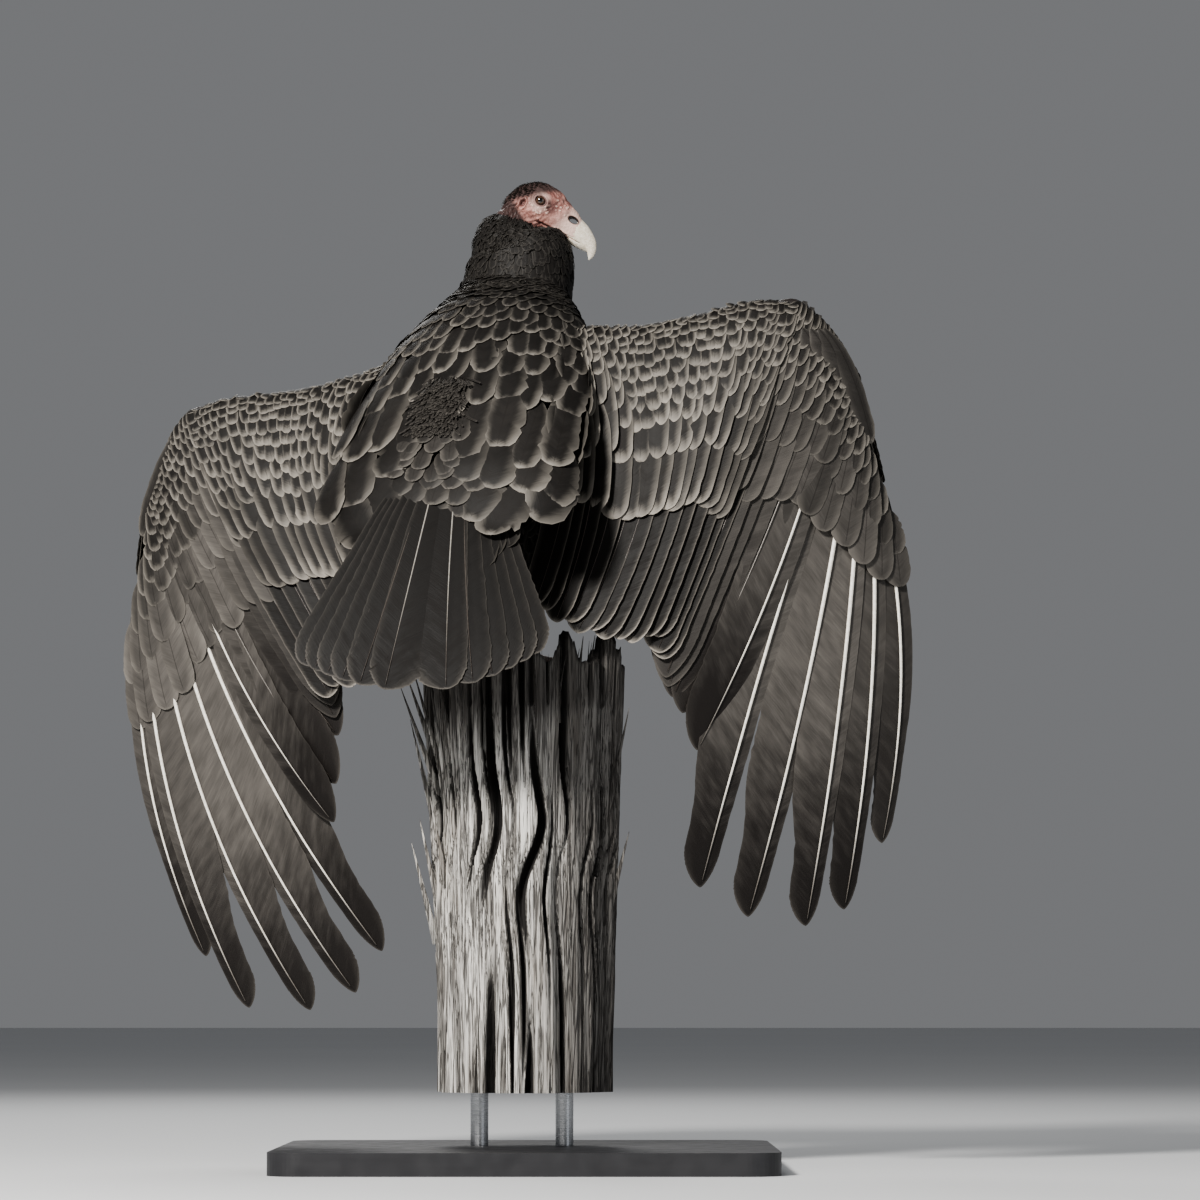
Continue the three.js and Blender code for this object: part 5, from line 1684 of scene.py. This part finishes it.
# The rump's down is short, dark and matted; below it small rounded grey feathers run out over the tail.
rump = body_rows(body_place, rng, 87, 106, np.arange(0.455, 0.33, -0.006), 8.5, 0.9, 1.5, 0.10, 0.12,
                 wild=0.06, lift=4.6, sink=-0.2, height=2.2, rows=6, columns=3, split=0.0, ragged=0.2)
rump += body_rows(body_place, rng, 82, 108, [0.372, 0.338, 0.30, 0.262], 25.0, 9.5, 1.45, 0.18, 0.22,
                  lift=3.4, sink=-0.8, height=1.4, rows=16, columns=9)
rump += body_rows(body_place, rng, 70, 112, [0.235, 0.20], 34.0, 15.0, 1.45, 0.26, 0.12, lift=3.0,
                  sink=-0.8, height=0.8, rows=18, columns=9, split=1.0)
tail_coverts = body_rows(body_place, rng, 40, 140, [0.19, 0.15], 36.0, 15.0, 1.45, 0.22, 0.10, lift=2.0,
                         sink=-0.5, height=-0.5, rows=18, columns=9, split=0.8)
coat_piece("scapular_feathers", scapulars + rump + tail_coverts, plumage, ("torso",))

rng = np.random.default_rng(42)
belly = body_rows(body_place, rng, 190, 350, np.arange(1.04, -0.04, -0.037), 26.0, 8.4, 1.4, 0.10, 0.055,
                  lift=1.6, sink=-2.4)
vent = body_rows(body_place, rng, 178, 362, np.arange(0.16, -0.02, -0.05), 46.0, 11.0, 1.4, 0.08, 0.06,
                 lift=1.5, sink=-3.0, rows=10, columns=7)
coat_piece("belly_feathers", belly + vent, plumage, ("torso",))

# The ruff: short black feathers that stand out at its rim, where the bare head begins.
rng = np.random.default_rng(43)
ruff = body_rows(neck_place, rng, 0, 360, np.arange(0.76, 0.12, -0.040), lambda t: 15 + 9 * (0.8 - t),
                 lambda t: 2.1 + 2.2 * (0.8 - t), 1.25, 0.05, 0.05, reach_mm=neck_length, lift=1.3, sink=-2.6,
                 wild=0.10, rows=9, columns=3, ragged=0.14)
ruff += body_rows(neck_place, rng, 0, 360, np.arange(0.12, -0.22, -0.042), 25.0, 4.6, 1.25, 0.09, 0.04,
                  reach_mm=neck_length, lift=2.9, sink=-2.4, wild=0.07, rows=10, ragged=0.08)
ruff += body_rows(neck_place, rng, 20, 160, np.arange(0.90, 0.72, -0.028), 10.0, 1.5, 1.3, 0.04, 0.04,
                  reach_mm=neck_length, lift=2.2, sink=-2.0, wild=0.2, rows=7, columns=3, ragged=0.12)
ruff += body_rows(neck_place, rng, 190, 350, np.arange(0.93, 0.79, -0.03), 11.0, 1.8, 1.3, 0.04, 0.04,
                  reach_mm=neck_length, lift=1.6, sink=-2.0, wild=0.15, rows=7, columns=3, ragged=0.12)
coat_piece("neck_feathers", ruff, plumage, ("neck",))

# Loose dark feathers clothe the thighs like short trousers.
rng = np.random.default_rng(44)
trousers, thigh_length = [], 140.0
trouser_girth = [(0, 18, 0), (0.2, 27, 0), (0.5, 23, 0), (0.85, 12, 0), (1, 7.5, 0)]
for side in hips:
    def thigh_place(share, angle, height, thigh=thigh_line(side)):
        share, angle = np.broadcast_arrays(np.asarray(share, float), np.asarray(angle, float))
        t = 1.0 - share
        ahead = heading(thigh, t)
        out_a = unit(np.cross(ahead, aslant))
        out = np.cos(angle)[..., None] * out_a + np.sin(angle)[..., None] * np.cross(ahead, out_a)
        past = np.maximum(t - 1.0, 0.0)[..., None] * thigh_length * ahead
        reach = profile(trouser_girth, np.clip(t, 0, 1))[..., 0] + height
        return spline(thigh, t) + past + out * reach[..., None], out

    trousers += body_rows(thigh_place, rng, 0, 360, np.arange(0.98, 0.10, -0.07), 24.0, 6.6, 1.4, 0.08, 0.05,
                          reach_mm=thigh_length, lift=1.5, sink=-2.5, wild=0.10)
coat_piece("thigh_feathers", trousers, plumage, ("thigh_right", "thigh_left"))


# Fine black bristles grow on the crown and the nape, and thin out towards the face.
def head_surface(ahead, turn):
    top, low, half = np.moveaxis(profile(head_line, ahead), -1, 0)
    up, side = (top + low) / 2 + (top - low) / 2 * np.sin(turn), half * np.cos(turn)
    return up, on_head(ahead, up, side)


rng = np.random.default_rng(45)
n = 15000
ahead, turn = rng.uniform(-23, 30, n), rng.uniform(-math.pi, math.pi, n)
up, root = head_surface(ahead, turn)
crown_share = ramp(up * 0.9 - ahead * 0.85, 6, 20)
off_eye = np.hypot(ahead - eye_at[0], up - eye_at[1])
keep = (rng.random(n) < 0.15 + 0.85 * crown_share) & (off_eye > 9.5) & (crown_share > 0.03)
ahead, turn, root = ahead[keep], turn[keep], root[keep]
n = len(ahead)
back = unit(head_surface(ahead - 1.0, turn)[1] - head_surface(ahead + 1.0, turn)[1])
out = unit(np.cross(head_surface(ahead, turn + 0.05)[1] - head_surface(ahead, turn - 0.05)[1], back))
out = out * np.sign((out * (root - on_head(ahead, 0.0, 0.0))).sum(-1, keepdims=True))
way = unit(out * 0.36 + back * 0.95 + rng.normal(0, 0.14, (n, 3)))
long = (rng.uniform(2.2, 4.4, n) * (0.5 + 0.5 * ramp(-ahead, -14, 6)))[:, None, None]
line = np.linspace(0, 1, 4)[None, :, None]
spine = root[:, None] - out[:, None] * 0.8 + way[:, None] * long * line \
    + back[:, None] * long * 0.15 * line ** 2
width = np.broadcast_to(np.array([0.15, 0.17, 0.13, 0.05]), (n, 4))
bristle_tone = np.stack([rng.random(n), np.zeros(n), np.full(n, 0.02)], 1)
bristles = vanes(spine, np.broadcast_to(out[:, None], spine.shape), width, width, bristle_tone,
                 tuft_patches(0.5 + ahead / 60.0, turn, 0.002), rng, rows=6, columns=3, thick=0.24,
                 ragged=0.0)


def bristle_paint(at):
    tint = at.noise(300.0, 2.0)
    return {
        "Base Color": tint.mix((0.008, 0.007, 0.006), (0.026, 0.020, 0.018)),
        "Roughness": tint.step(0.2, 0.8, 0.85, 0.95),
        "Specular IOR Level": 0.03,
    }


coat_piece("head_bristles", [bristles], material("bristles", bristle_paint), ("head",))
